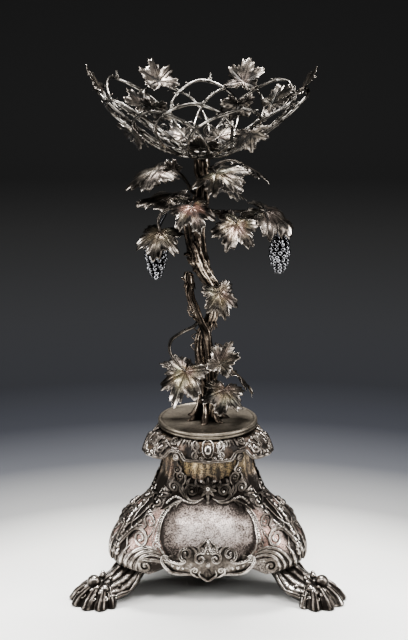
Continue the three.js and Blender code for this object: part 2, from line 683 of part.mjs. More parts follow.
const petals = palmette.petals.map((degrees) => rib([palmette.from, palmette.to].map((far) => {
  const a = radians(degrees);
  return [far * Math.cos(a), palmette.seat + far * Math.sin(a)];
}), palmette, crest.proud, 3));
const crestRibs = [...petals, ...crestScrolls.flatMap((form) => scrollRibs(form, crest.proud, 7))];
panelAngles.forEach((degrees, i) => {
  place(`apron_mount_${i + 1}`, ornament(apron, degrees, 3), 'mount');
  place(`crest_mount_${i + 1}`, ornament(crest, degrees, 4, crestRibs), 'mount');
});

// Collar, plate and the rod that holds them
function collarRing(degrees) {
  const share = cornerShare(degrees);
  const turn = fromPanel(degrees);
  const entered = smooth(notch.from - 5, notch.from + 2, turn);
  const inNotch = entered * (1 - smooth(notch.to - 2, notch.to + 5, turn));
  return collarPanel.map(([rp, zp], k) => {
    const [rc, zc] = collarCorner[k];
    const z = zp + (zc - zp) * share;
    const low = inNotch * (1 - smooth(collarBottom, neckTop, z));
    const flute = k > 1 && k < 6 ? 0.8 * Math.cos(radians(24 * degrees)) : 0;
    return around(degrees, rp + (rc - rp) * share ** 1.5 + flute - 2 * low, z + notch.rise * low);
  });
}

place('collar', loft(columnAngles.map(collarRing), true), 'mount');
place('round_plate', turned(platePoints, 32), 'plate');
place('tie_rod', disc(rodRadius, rodBottom, rodTop, 12), 'steel');
{
  const body = turned([
    [rodHole, nutTop - nutHeight], [8, nutTop - nutHeight], [8, nutTop - 2.5], [12, nutTop - 2.5],
    [12, nutTop - gap], [rodHole, nutTop - gap],
  ], 12);
  const wings = [-1, 1].map((side) => box(
    [Math.min(side * 6.5, side * 19), -1.5, nutTop - nutHeight - 3],
    [Math.max(side * 6.5, side * 19), 1.5, nutTop - 4],
  ));
  place('wing_nut', join(body, ...wings), 'steel');
}

// Trunk and side stem
// Level rings up a path of [x, y, z, radius, lobe height], grown by an even amount.
function trunkShape(grown = 0) {
  const rings = trunkPath.map(([x, y, z, radius, lobe], i) => Array.from({ length: trunkSides }, (_, j) => {
    const a = (360 * j) / trunkSides;
    const twist = (z - vineBase) * 0.35;
    const r = radius + lobe * Math.cos(radians(rootCount * a)) * (i < 4 ? 1 : 0)
      + (i < 4 ? 0 : lobe * Math.cos(radians(4 * a + twist))) + grown;
    return new THREE.Vector3(x, y, 0).add(around(a, r, z));
  }));
  if (grown > 0) {
    rings[0].forEach((p) => { p.z -= 1; });
  }
  return loft(rings);
}

function stemShape(grown = 0) {
  return loft(stemPath.map(([x, y, z, radius], i) => Array.from({ length: stemSides }, (_, j) => {
    const ridge = 0.35 * Math.cos(radians(120 * j + 40 * i));
    return new THREE.Vector3(x, y, 0).add(around((360 * j) / stemSides, radius + ridge + grown, z));
  })));
}

{
  const rodBore = disc(rodHole, vineBase - 5, rodTop + gap, 16);
  const socket = disc(socketRadius, socketBottom, hubSeat + 5, 16).translate(vineTop, 0, 0);
  place('trunk', cut(trunkShape(), rodBore, socket), 'bark');
  place('side_stem', cut(stemShape(), trunkShape(gap)), 'bark');
}

// Leaves
// Unit vectors of a leaf: towards its tip, across it, and out of its upper face.
function leafAxes({ base, tip, face }) {
  const forward = point(tip).sub(point(base)).normalize();
  const up = point(face);
  up.addScaledVector(forward, -up.dot(forward)).normalize();
  const across = new THREE.Vector3().crossVectors(up, forward);
  return { forward, across, up };
}

function blade(leaf) {
  const { forward, across, up } = leafAxes(leaf);
  const length = point(leaf.tip).distanceTo(point(leaf.base));
  const half = leafOutline.slice(1, -1);
  const outline = [...leafOutline, ...half.map(([a, r]) => [-a, r]).reverse()];
  const count = outline.length;
  const spot = (share, [degrees, r], lift) => {
    const u = share * r * Math.cos(radians(degrees));
    const s = share * r * Math.sin(radians(degrees)) * leaf.width;
    const ruffle = 0.05 * Math.sin(radians(3 * degrees + 40)) * (share * r) ** 2;
    const h = leaf.droop * (u - u * u - s * s) + ruffle;
    return point(leaf.base)
      .addScaledVector(forward, u * length)
      .addScaledVector(across, s * length)
      .addScaledVector(up, h * length + lift);
  };
  // Both faces share the thin rim; each has its own inner ring and middle.
  const points = outline.map((o) => spot(1, o, 0));
  const inner = count / 2;
  const triangles = [];
  for (const lift of [leafThickness / 2, -leafThickness / 2]) {
    const start = points.length;
    outline.filter((_, i) => i % 2 === 0).forEach((o) => points.push(spot(0.6, o, lift)));
    points.push(spot(0, [0, 0], lift));
    const push = (a, b, c) => triangles.push(lift > 0 ? [a, b, c] : [a, c, b]);
    for (let i = 0; i < inner; i++) {
      const a = 2 * i;
      const b = 2 * i + 1;
      const c = (2 * i + 2) % count;
      const d = start + i;
      const e = start + ((i + 1) % inner);
      push(a, b, d);
      push(b, e, d);
      push(b, c, e);
      push(d, e, start + inner);
    }
  }
  return closed(points, triangles);
}

function stalk(path, grown = 0, radius = stalkRadius) {
  return rod(path, (t) => radius * (1.15 - 0.3 * t) + grown, 4, Math.max(2, path.length));
}

const leafStalk = (leaf, grown = 0) => stalk([...leaf.stalk, leaf.base], grown);
const leafShape = (leaf) => join(blade(leaf), leafStalk(leaf));

const thickTrunk = trunkShape(gap);
const thickStem = stemShape(gap);
for (const [name, leaf] of Object.entries(vineLeaves)) {
  place(name, cut(leafShape(leaf), thickTrunk, thickStem), 'leaf');
}

// Grapes
// A pendent cluster: level rings whose points stand out in turn, as packed berries do.
function bunch({ at, reach, drop, stalk: path }) {
  const [x, y, z] = at;
  const sides = 10;
  const levels = 9;
  const rings = Array.from({ length: levels }, (_, i) => {
    const t = i / (levels - 1);
    const round = reach * Math.sqrt(Math.sin(Math.PI * (0.06 + 0.9 * t ** 0.7)));
    return Array.from({ length: sides }, (_, j) => {
      const bump = 1 + 0.13 * Math.cos(Math.PI * (i + j));
      return new THREE.Vector3(x, y, 0).add(around((360 * j) / sides, round * bump, z - drop * t));
    });
  });
  return join(loft(rings), stalk([...path, [x, y, z - 3]], 0, 1.3));
}

for (const [name, form] of Object.entries(bunches)) {
  place(name, cut(bunch(form), leafStalk(vineLeaves[form.host], gap)), 'grape');
}

// Basket, made round its own axis and set over the vine's top.
const placeHigh = (...piece) => place(...piece).translateX(vineTop);
const bowlHeight = (r) => bowl.floor + bowlCurve * r * r;

// A point on the bowl, moved along its inward normal, with the directions there.
function onBowl(degrees, r, inwards) {
  const slope = 2 * bowlCurve * r;
  const steep = Math.hypot(1, slope);
  return around(degrees, r - (inwards * slope) / steep, bowlHeight(r) + inwards / steep);
}

// A twig's middle line some degrees aside of its peak; leg 1 is the right one and lies
// outside the bowl.
function legSpot(i, leg, aside) {
  const [angle, peak] = arches[i];
  const degrees = angle - leg * aside;
  const radius = peak * along(legPath.map(([share, a]) => [a, share]), aside);
  return { degrees, radius, middle: onBowl(degrees, radius, -leg * layer * smooth(0, 6, aside)) };
}

const legPoint = (i, leg, step) => legSpot(i, leg, legPath[step][1]);

// Arch number i starts and ends at even steps round the hub, whatever its peak's angle.
function archPath(i) {
  const leg = (sign) => legPath.map((_, step) => legPoint(i, sign, step).middle);
  const end = (sign) => {
    const step = 30 * i - sign * legEnd.aside;
    return [onBowl(step + 2 * sign, 22, -sign * layer), onBowl(step, legEnd.radius, -sign * layer)];
  };
  const right = [...leg(1), ...end(1)].map((p) => p.toArray());
  const left = [...leg(-1), ...end(-1)].map((p) => p.toArray());
  return [...right.reverse(), ...left.slice(1)];
}

{
  const profile = [
    [spigotRadius, spigotBottom], [spigotRadius, hubSeat], [hub.radius, hubSeat + 0.5],
    [hub.radius, hub.seat - 0.8], [hub.radius - 1.2, hub.seat],
  ];
  placeHigh('basket_hub', loft(profile.map(([r, z]) => circle(r, z, 24))), 'twig');
}
const hubBlock = disc(hub.radius + gap, hubSeat - 4, hub.seat + 4, 24);

const archRod = (i, grown = 0) => rod(archPath(i), () => twigRadius + grown, 5, 18);
arches.forEach(([, , aside], i) => {
  let shape = archRod(i);
  if (aside !== undefined) {
    const { degrees, middle } = legSpot(i, Math.sign(aside), Math.abs(aside));
    const tip = middle.clone().add(around(degrees, thorn.lean, thorn.length));
    const path = [middle, middle.clone().lerp(tip, 0.5), tip].map((p) => p.toArray());
    shape = join(shape, rod(path, (t) => twigRadius - thorn.taper * t, 4, 2));
  }
  placeHigh(`basket_twig_${i + 1}`, cut(shape, hubBlock), 'twig');
});

// Outward-and-up direction along the bowl at a radius.
function upBowl(degrees, r) {
  return onBowl(degrees, r + 1, 0).sub(onBowl(degrees, r - 1, 0)).normalize();
}

function inward(degrees, r) {
  return onBowl(degrees, r, 1).sub(onBowl(degrees, r, 0)).normalize();
}

{
  const hosts = arches.map((_, i) => archRod(i, gap));
  for (const [name, form] of Object.entries(basketLeaves)) {
    const { degrees, radius, middle } = legPoint(...form.on);
    const out = inward(degrees, radius).multiplyScalar(form.side);
    const towards = upBowl(degrees, radius).applyAxisAngle(out, radians(form.turn));
    const base = middle.clone().addScaledVector(out, form.away[0]);
    const tip = middle.clone().addScaledVector(out, form.away[1]).addScaledVector(towards, form.length);
    const leaf = {
      base: base.toArray(),
      tip: tip.toArray(),
      face: out.toArray(),
      width: form.width,
      droop: -0.12,
      stalk: [middle.toArray()],
    };
    placeHigh(name, cut(leafShape(leaf), ...hosts), 'leaf');
  }
}

// Three leaves cast on one ring that lies on the hub.
{
  const low = hub.seat + gap;
  const high = low + sprayRing.height;
  const ring = turned([
    [sprayRing.inner, low], [sprayRing.outer, low], [sprayRing.outer, high], [sprayRing.inner, high],
  ], 12);
  const leaves = spray.angles.map((degrees) => {
    const inside = inward(degrees, spray.from + 5);
    const base = onBowl(degrees, spray.from, spray.above + 0.5);
    const tip = onBowl(degrees, spray.to, spray.above);
    const leaf = {
      base: base.toArray(), tip: tip.toArray(), face: inside.toArray(), width: 1, droop: 0.1,
      stalk: [around(degrees, 9, high - 0.7).toArray(), around(degrees, 18, high + 1.3).toArray()],
    };
    return leafShape(leaf);
  });
  placeHigh('hub_spray', join(ring, ...leaves), 'leaf');
}

// The third foot reaches further back than the others reach forward, so the middle of
// the outline lies behind the axis.
const outline = new THREE.Box3().setFromObject(pieces, true);
pieces.position.y = -(outline.min.y + outline.max.y) / 2;

export default pieces;
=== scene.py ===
# %% [markdown]
# A silver-plated vine centrepiece. Its size and its bare solids come from the CAD part.
# This lesson dresses them: cast scrolls, bark, veined leaves, berries and worn silver.

# %% Load the frame
import bpy
import numpy as np
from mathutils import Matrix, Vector


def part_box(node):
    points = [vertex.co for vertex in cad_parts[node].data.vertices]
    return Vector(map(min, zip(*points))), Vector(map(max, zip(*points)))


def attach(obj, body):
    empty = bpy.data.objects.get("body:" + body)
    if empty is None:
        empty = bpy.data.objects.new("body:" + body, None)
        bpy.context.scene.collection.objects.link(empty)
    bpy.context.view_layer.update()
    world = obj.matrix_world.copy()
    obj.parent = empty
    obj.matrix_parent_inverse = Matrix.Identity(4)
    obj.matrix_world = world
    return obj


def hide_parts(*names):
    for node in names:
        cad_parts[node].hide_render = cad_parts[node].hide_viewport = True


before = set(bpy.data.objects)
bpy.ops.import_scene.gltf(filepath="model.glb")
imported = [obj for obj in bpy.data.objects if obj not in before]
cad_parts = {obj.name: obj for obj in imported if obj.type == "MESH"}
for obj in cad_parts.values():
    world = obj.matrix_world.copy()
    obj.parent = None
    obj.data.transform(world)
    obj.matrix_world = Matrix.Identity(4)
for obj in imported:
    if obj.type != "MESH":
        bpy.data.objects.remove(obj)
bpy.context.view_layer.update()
print("CAD nodes:", len(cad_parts))

# %% [markdown]
# Everything on the stand grows round one upright line, the tie rod; the basket grows
# round its hub, which stands a little to the left because the vine leans. Shapes are
# worked out in millimetres from that line, as a maker would measure them, and moved into
# the frame's metres at the end.

# %% The axes
def middle_of(name):
    """The point on the floor under the middle of a CAD node's box."""
    low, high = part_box(name)
    return np.array([(low.x + high.x) / 2, (low.y + high.y) / 2, 0.0])


axis, basket_axis = middle_of("tie_rod"), middle_of("basket_hub")
vine_top = (basket_axis[0] - axis[0]) * 1000
print("the stand's axis is at", axis.round(4), "and the basket's is", round(vine_top, 2), "mm to its side")

# %% [markdown]
# A cast or turned piece is a closed skin. A grid of points gives one: each row is a loop,
# and rows are joined by four-sided faces. One could also start from a cube and sculpt it,
# but a grid keeps the maker's measures and can be worked out with whole arrays.

# %% Skins
def skin(grid, tarnish_and_shade=0.0, warm=0.0, ring=False):
    """A watertight skin over a grid of points. Each row is a closed loop. The end rows are
    closed by a fan round their middle, or the last row meets the first in a ring. If the
    volume under the faces comes out negative, they look inwards and are turned round."""
    grid = np.asarray(grid, float)
    rows, columns = grid.shape[:2]
    index = np.arange(rows * columns).reshape(rows, columns)
    upper = index if ring else index[:-1]
    lower = np.roll(index, -1, axis=0) if ring else index[1:]
    quads = np.stack([upper, np.roll(upper, -1, 1), np.roll(lower, -1, 1), lower], -1).reshape(-1, 4)
    points = grid.reshape(-1, 3)
    tarnish_and_shade = np.broadcast_to(tarnish_and_shade, (rows, columns)).astype(float)
    warm = np.broadcast_to(warm, (rows, columns)).astype(float)
    tris = np.zeros((0, 3), int)
    values = np.stack([tarnish_and_shade.ravel(), warm.ravel()], 1)
    if not ring:
        ends = np.array([grid[0].mean(0), grid[-1].mean(0)])
        first, last, n = index[0], index[-1], rows * columns
        fan = np.stack([np.roll(first, -1), first, np.full(columns, n)], 1)
        back = np.stack([last, np.roll(last, -1), np.full(columns, n + 1)], 1)
        tris = np.concatenate([fan, back])
        points = np.concatenate([points, ends])
        extra = [[tarnish_and_shade[0].mean(), warm[0].mean()], [tarnish_and_shade[-1].mean(), warm[-1].mean()]]
        values = np.concatenate([values, extra])
    centred = points - points.mean(0)
    a, b, c, d = (centred[quads[:, i]] for i in range(4))
    volume = (a * np.cross(b, c)).sum() + (a * np.cross(c, d)).sum()
    if len(tris):
        a, b, c = (centred[tris[:, i]] for i in range(3))
        volume += (a * np.cross(b, c)).sum()
    if volume < 0:
        quads, tris = quads[:, ::-1], tris[:, ::-1]
    return points, quads, tris, values


def turn(skins, degrees):
    """The same skins turned about the axis: x and y mixed by the cosine and the sine."""
    a = np.radians(degrees)
    matrix = np.array([[np.cos(a), -np.sin(a), 0], [np.sin(a), np.cos(a), 0], [0, 0, 1]])
    return [(points @ matrix.T, quads, tris, values) for points, quads, tris, values in skins]


def make_piece(name, skins, material, body, slot, *nodes):
    """One mesh object from several skins, in metres. Two values ride on each point: how dark it is, from
    tarnish in its hollows and from painted shade, and how warm its tarnish is."""
    counts = np.cumsum([0] + [len(s[0]) for s in skins])
    points = np.concatenate([s[0] for s in skins]) / 1000 + (basket_axis if body == "basket" else axis)
    faces = []
    for s, start in zip(skins, counts):
        faces += (s[1] + start).tolist() + (s[2] + start).tolist()
    mesh = bpy.data.meshes.new(name)
    mesh.from_pydata(points, [], faces)
    values = np.concatenate([s[3] for s in skins]).astype(np.float32)
    for column, label in enumerate(("tarnish_and_shade", "warm")):
        mesh.attributes.new(label, "FLOAT", "POINT").data.foreach_set("value", values[:, column])
    mesh.polygons.foreach_set("use_smooth", np.ones(len(mesh.polygons), bool))
    mesh.materials.append(material)
    piece = bpy.data.objects.new(name, mesh)
    bpy.context.scene.collection.objects.link(piece)
    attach(piece, body)
    if nodes:
        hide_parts(*nodes)
    print(name, len(mesh.polygons), "faces")


# %% [markdown]
# Stalks, scrolls and twigs are all one idea: a line in space with a section carried
# along it. The line goes smoothly through a few chosen points.

# %% Lines and tubes
def smooth_table(table, t):
    """A table read at any place t: each span is a cubic whose slope at a row is half the step
    between that row's neighbours."""
    t = np.clip(t, 0, len(table) - 1)
    p = np.concatenate([[2 * table[0] - table[1]], table, [2 * table[-1] - table[-2]]])
    i = np.minimum(t.astype(int), len(table) - 2)
    u = (t - i)[..., None]
    a, b, c, d = p[i], p[i + 1], p[i + 2], p[i + 3]
    return 0.5 * (2 * b + (c - a) * u + (2 * a - 5 * b + 4 * c - d) * u ** 2
                  + (3 * b - a - 3 * c + d) * u ** 3)


def lengths_along(line):
    """How far along the line each of its points lies."""
    return np.concatenate([[0], np.cumsum(np.linalg.norm(np.diff(line, axis=0), axis=1))])


def through(points, steps):
    """A smooth line through the points, read sixteen times in each span and then cut into
    equal lengths."""
    points = np.asarray(points, float)
    line = smooth_table(points, np.arange(0, len(points) - 1, 1 / 16))
    line = np.concatenate([line, points[-1:]])
    length = lengths_along(line)
    at = np.linspace(0, length[-1], steps)
    return np.stack([np.interp(at, length, column) for column in line.T], 1)


def unit(v):
    """Vectors made one long."""
    return v / np.maximum(np.linalg.norm(v, axis=-1, keepdims=True), 1e-9)


def circle(count):
    """Angles once round, evenly spaced."""
    return np.linspace(0, 2 * np.pi, count, endpoint=False)


def round_points(a, r, z, x=0.0, y=0.0):
    """Points round an upright line at x, y: x + r * cos a, y + r * sin a, at height z."""
    return np.stack(np.broadcast_arrays(x + r * np.cos(a), y + r * np.sin(a), z), -1)


def compass(degrees):
    """Three directions at an angle round the axis: straight out, aside and up."""
    a = np.radians(degrees)
    out = np.array([np.cos(a), np.sin(a), 0])
    return out, np.array([-out[1], out[0], 0]), np.array([0, 0, 1.0])


def progress(x, start, end):
    """How far x has come from start to end: 0 before the start, 1 past the end."""
    return np.clip((x - start) / (end - start), 0, 1)


def eased(share):
    """A share from 0 to 1 that starts and stops softly: 3 * square - 2 * cube."""
    return share * share * (3 - 2 * share)


def tube(line, radius, sides=8, tarnish_and_shade=0.0):
    """A tube: centre + radius * (cos a * one side + sin a * the other). The sides are square
    to the line and to the direction that the line bends least in."""
    along = unit(np.gradient(line, axis=0))
    flat = np.linalg.svd(along)[2][-1]
    side = unit(np.cross(along, flat))
    other = np.cross(along, side)
    a = circle(sides)[None, :, None]
    reach = np.asarray(radius, float)
    reach = reach if reach.ndim == 2 else reach[..., None]
    reach = np.broadcast_to(reach, (len(line), sides))[..., None]
    grid = line[:, None] + reach * (np.cos(a) * side[:, None] + np.sin(a) * other[:, None])
    return skin(grid, tarnish_and_shade)


def wave(u, v, seed):
    """Soft unevenness, about -1 to 1: five sine waves, each slanted across u and v."""
    rng = np.random.RandomState(seed)
    total = 0
    for scale in (1, 1.7, 2.9, 4.3, 6.1):
        tilt, phase = rng.uniform(0, np.pi), rng.uniform(0, 2 * np.pi)
        total = total + np.sin(scale * (u * np.cos(tilt) + v * np.sin(tilt)) + phase) / scale ** 0.7
    return total / 2.4


# %% [markdown]
# Old plated silver isn't one grey. High places are rubbed bright, hollows hold black
# tarnish, and thin films turn gold, pink and green. Three things drive the colour here: the
# tarnish_and_shade value of each point, which holds tarnish in hollows and also painted
# shade in recesses and on the base's dome, soft noise in the object's own space, and the
# warm value.

# %% Materials
def node(tree, kind, **settings):
    """Adds a shader node; names with a capital are its sockets, the rest its settings."""
    made = tree.nodes.new("ShaderNode" + kind)
    for key, value in settings.items():
        if key[0].isupper():
            made.inputs[key.replace("_", " ")].default_value = value
        else:
            setattr(made, key, value)
    return made


def ramp(tree, stops):
    """A colour ramp from (place, colour) stops."""
    made = tree.nodes.new("ShaderNodeValToRGB")
    points = made.color_ramp.elements
    for i, (place, colour) in enumerate(stops):
        point = points[i] if i < 2 else points.new(place)
        point.position = place
        point.color = (*colour, 1)
    return made


def aged_silver(name, bright, middle, dark, rough=(0.24, 0.45), wear=0.5, depth=1.0, grain=420,
                speckle=0.0, warm_stops=None, turn_film=0.0):
    """Worn silver with painted shade: darkness = tarnish_and_shade * depth + noise * wear picks a colour
    between bright and dark, so both the tarnish and the painted shade held in that value darken it; where
    the warm value is high, a coloured film tints that colour. The film's hue follows noise, and changes
    with height too where turn_film asks for it, and the film takes away half of the metal's mirror."""
    made = bpy.data.materials.new(name)
    made.use_nodes = True
    tree = made.node_tree
    link = tree.links.new
    shader = tree.nodes["Principled BSDF"]
    place = node(tree, "TexCoord").outputs["Object"]
    broad = node(tree, "TexNoise", Scale=55.0, Detail=5.0, Roughness=0.6)
    fine = node(tree, "TexNoise", Scale=float(grain), Detail=4.0, Roughness=0.65)
    link(place, broad.inputs["Vector"])
    link(place, fine.inputs["Vector"])
    # tarnish_and_shade: tarnish held in hollows, plus painted shade in recesses and on the base's dome
    tarnish_and_shade = node(tree, "Attribute", attribute_name="tarnish_and_shade")
    deep = node(tree, "Math", operation="MULTIPLY_ADD")
    deep.inputs[1].default_value = depth
    link(tarnish_and_shade.outputs["Fac"], deep.inputs[0])
    patches = node(tree, "MapRange", From_Min=0.35, From_Max=0.7, To_Min=-0.15 * wear, To_Max=wear)
    link(broad.outputs["Fac"], patches.inputs["Value"])
    link(patches.outputs["Result"], deep.inputs[2])
    dust = node(tree, "MapRange", From_Min=0.45, From_Max=0.75, To_Min=0.0, To_Max=0.25 + speckle)
    link(fine.outputs["Fac"], dust.inputs["Value"])
    tarnish_and_shade_level = node(tree, "Math", operation="ADD")
    link(deep.outputs[0], tarnish_and_shade_level.inputs[0])
    link(dust.outputs["Result"], tarnish_and_shade_level.inputs[1])
    colour = ramp(tree, [(0.05, bright), (0.9, dark), (0.42, middle)])
    link(tarnish_and_shade_level.outputs[0], colour.inputs["Fac"])
    film = ramp(tree, warm_stops or [(0.3, (0.62, 0.50, 0.27)), (0.7, (0.66, 0.42, 0.36))])
    hue = node(tree, "TexNoise", Scale=38.0, Detail=2.0)
    link(place, hue.inputs["Vector"])
    height = node(tree, "SeparateXYZ")
    link(place, height.inputs["Vector"])
    lower = node(tree, "Math", operation="MULTIPLY_ADD")
    lower.inputs[1].default_value, lower.inputs[2].default_value = -turn_film, 0.12 * turn_film
    link(height.outputs["Z"], lower.inputs[0])
    tint = node(tree, "Math", operation="ADD")
    link(hue.outputs["Fac"], tint.inputs[0])
    link(lower.outputs[0], tint.inputs[1])
    link(tint.outputs[0], film.inputs["Fac"])
    warm = node(tree, "Attribute", attribute_name="warm")
    mixed = node(tree, "Mix", data_type="RGBA", blend_type="MULTIPLY")
    link(warm.outputs["Fac"], mixed.inputs["Factor"])
    link(colour.outputs["Color"], mixed.inputs["A"])
    link(film.outputs["Color"], mixed.inputs["B"])
    link(mixed.outputs["Result"], shader.inputs["Base Color"])
    crust = node(tree, "Math", operation="MULTIPLY_ADD")
    crust.inputs[1].default_value, crust.inputs[2].default_value = -0.5, 1.0
    link(warm.outputs["Fac"], crust.inputs[0])
    link(crust.outputs[0], shader.inputs["Metallic"])
    polish = node(tree, "MapRange", From_Min=0.0, From_Max=1.0, To_Min=rough[0], To_Max=rough[1])
    link(tarnish_and_shade_level.outputs[0], polish.inputs["Value"])
    link(polish.outputs["Result"], shader.inputs["Roughness"])
    bump = node(tree, "Bump", Strength=0.18, Distance=0.0004)
    link(fine.outputs["Fac"], bump.inputs["Height"])
    link(bump.outputs["Normal"], shader.inputs["Normal"])
    return made


gold_film, pink_film, green_film = (0.88, 0.66, 0.26), (0.84, 0.47, 0.38), (0.50, 0.58, 0.28)
silver = aged_silver(
    "cast_silver", (0.68, 0.62, 0.56), (0.138, 0.116, 0.098), (0.008, 0.0065, 0.0055),
    rough=(0.16, 0.5), depth=1.1, wear=0.6, warm_stops=[(0.3, gold_film), (0.7, pink_film)])
cushion_silver = aged_silver(
    "base_silver", (0.96, 0.895, 0.84), (0.29, 0.25, 0.222), (0.016, 0.013, 0.011),
    rough=(0.36, 0.55), wear=0.42, speckle=0.8, grain=800, turn_film=9.0,
    warm_stops=[(0.3, gold_film), (0.65, pink_film)])
dull_silver = aged_silver(
    "plate_silver", (0.44, 0.375, 0.30), (0.20, 0.17, 0.132), (0.03, 0.025, 0.02),
    rough=(0.36, 0.5), wear=0.4)
bark_silver = aged_silver(
    "bark_silver", (0.58, 0.475, 0.37), (0.08, 0.06, 0.045), (0.005, 0.004, 0.003),
    rough=(0.2, 0.5), wear=0.6)
leaf_silver = aged_silver(
    "leaf_silver", (0.60, 0.54, 0.48), (0.115, 0.098, 0.083), (0.008, 0.007, 0.006),
    rough=(0.17, 0.42), wear=0.55, warm_stops=[(0.36, green_film), (0.62, pink_film), (0.5, gold_film)])
berry_silver = aged_silver(
    "berry_silver", (0.24, 0.24, 0.255), (0.045, 0.045, 0.048), (0.004, 0.004, 0.0045),
    rough=(0.16, 0.35), wear=0.4)
twig_silver = aged_silver(
    "twig_silver", (0.60, 0.565, 0.52), (0.135, 0.122, 0.107), (0.009, 0.008, 0.007),
    rough=(0.15, 0.42), wear=0.45)
steel = aged_silver(
    "fixing_steel", (0.50, 0.50, 0.49), (0.36, 0.36, 0.35), (0.12, 0.11, 0.1),
    rough=(0.35, 0.55), wear=0.5)
for name in ["tie_rod", "wing_nut", "foot_screw_1", "foot_screw_2", "foot_screw_3"]:
    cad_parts[name].data.materials.clear()
    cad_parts[name].data.materials.append(steel)
print("materials:", len(bpy.data.materials))

# %% [markdown]
# The base is a cast shell with three swelling panels. The CAD gives its outline down a
# panel and down a corner; between them the radius is mixed by a raised cosine. Here the
# same outline is made smooth and given many more columns.

# %% The base's surface
neck_top, wall, rod_hole = 166, 3.2, 4.3
field_middle, field_wide, field_high = 77, 47.5, 31
panel_angles, foot_angles = [270, 30, 150], [210, 330, 90]
panel_profile = np.array([
    (4.3, 166), (38, 166), (40, 162.5), (39.5, 150), (39.5, 138), (41, 127), (43.5, 117), (46.5, 106),
    (50, 96.5), (60.5, 85.5), (71, 76.5), (79, 64), (82.5, 52), (82, 42), (79.5, 34)])
corner_profile = np.array([
    (4.3, 166), (42, 166), (46, 162.5), (49, 150), (51, 138), (52.5, 128), (57, 118), (64, 105),
    (72, 96), (83, 87), (94, 77), (105, 64), (110.5, 52), (112, 43), (110, 37)])
hem = np.array([(0, 31), (15, 34), (22.5, 38), (30, 41), (37.5, 34), (45, 36), (52.5, 37), (60, 37)])
last_station = len(panel_profile) - 1


def corner_share(degrees):
    """0 in the middle of a panel, 1 at a corner: ((1 - cos(3 * degrees)) / 2) ** 1.2."""
    return ((1 - np.cos(np.radians(3 * degrees))) / 2) ** 1.2


def base_outline(degrees, station):
    """Radius and height of the base: panel + (corner - panel) * the corner's share. The last
    station follows the wavy hem."""
    share = corner_share(degrees)
    panel, corner = smooth_table(panel_profile, station), smooth_table(corner_profile, station)
    r = panel[..., 0] + (corner[..., 0] - panel[..., 0]) * share
    z = panel[..., 1] + (corner[..., 1] - panel[..., 1]) * share
    low = progress(station, last_station - 1, last_station)
    edge = np.interp(np.abs(degrees), hem[:, 0], hem[:, 1])
    bottom = panel_profile[-1, 1] + (corner_profile[-1, 1] - panel_profile[-1, 1]) * share
    return r, z + low * (edge - bottom)


def cushion_reach(degrees, r, z):
    """Below 1 inside the domed field: each share of its half sizes to the power 2.3, added."""
    aside = r * np.sin(np.radians(degrees))
    return (np.abs(aside) / field_wide) ** 2.3 + (np.abs(z - field_middle) / field_high) ** 2.3


def fluting(degrees):
    """The neck's flutes, 0 on a crest and 1 in a hollow: a raised cosine, ten to the circle."""
    return 0.5 - 0.5 * np.cos(np.radians(36 * degrees))


def base_surface(degrees, station, lift=0.0):
    """A point of the base's outside in the front panel's frame, lifted outwards level. The
    field swells to a dome: its radius at the middle is a slope less a square of the height.
    The neck is fluted, and a strap with raised edges runs down each corner."""
    r, z = base_outline(degrees, station)
    inside = np.clip(1 - cushion_reach(degrees, r, z), 0, 1)
    middle = smooth_table(panel_profile, station)
    up = middle[..., 1] - field_middle
    dome = 64.15 - 0.585 * up + 6.4 * (1 - (up / field_high) ** 2)
    ease = eased(np.clip(1.6 * inside, 0, 1))
    r = r + np.clip(dome - middle[..., 0], -1.5, 5) * ease + 2.4 * inside ** 0.5 + lift
    r = r - 0.9 * progress(z, 122, 127) * progress(z, 167, 164) * fluting(degrees)
    aside = r * np.sin(np.radians(60 - np.abs(degrees)))
    strap = progress(z, 60, 74) * progress(z, 136, 128)
    width = 9 + 5 * progress(z, 130, 70)
    edges = 1.3 * np.exp(-((aside - width) / 2.2) ** 2)
    r = r + strap * (edges - 1.6 * np.clip(1 - (aside / width) ** 2, 0, 1))
    return round_points(np.radians(degrees - 90), r, z)


def station_at(degrees, z, halvings=22):
    """The station where the base is z high, by halving; below the hem it is the last."""
    low, high = np.ones_like(z), np.full_like(z, last_station)
    for _ in range(halvings):
        middle = (low + high) / 2
        above = base_outline(degrees, middle)[1] > z
        low, high = np.where(above, middle, low), np.where(above, high, middle)
    return low


def find_on_base(x, z):
    """Angle and station of a point given in the panel's front view: the station is found
    from the height, and the angle is put right from the radius, ten times over."""
    x, z = np.broadcast_arrays(np.asarray(x, float), np.asarray(z, float))
    degrees = np.degrees(np.arcsin(np.clip(x / 90, -0.95, 0.95)))
    for _ in range(10):
        station = station_at(degrees, z, 20)
        r = base_outline(degrees, station)[0]
        degrees = 0.3 * degrees + 0.7 * np.degrees(np.arcsin(np.clip(x / r, -0.98, 0.98)))
    return degrees, station


def on_base(path, lift=0.0):
    """Points and outward normals on the base for a path of (x, z) in the front view."""
    degrees, station = find_on_base(path[:, 0], path[:, 1])
    point = base_surface(degrees, station, lift)
    point[:, 2] += np.minimum(0, path[:, 1] - point[:, 2]) * (station > last_station - 0.01)
    across = base_surface(degrees + 0.4, station) - base_surface(degrees - 0.4, station)
    down = base_surface(degrees, station + 0.04) - base_surface(degrees, station - 0.08)
    normal = unit(np.cross(across, down))
    outward = unit(point * [1, 1, 0])
    normal *= np.sign((normal * outward).sum(1, keepdims=True))
    return point, unit(normal + 0.15 * outward)


spots = on_base(np.array([(0, 76), (40, 76), (0, 150)]))[0]
print("three points on the base:", spots.round(1).tolist())

# %% [markdown]
# The shell itself is one skin: each column runs down the outside, over the lower edge
# and up the inside to the hole for the rod, and the columns close round the axis. The
# pink and gold films sit in the flat fields and on the neck; the corners stay dark.

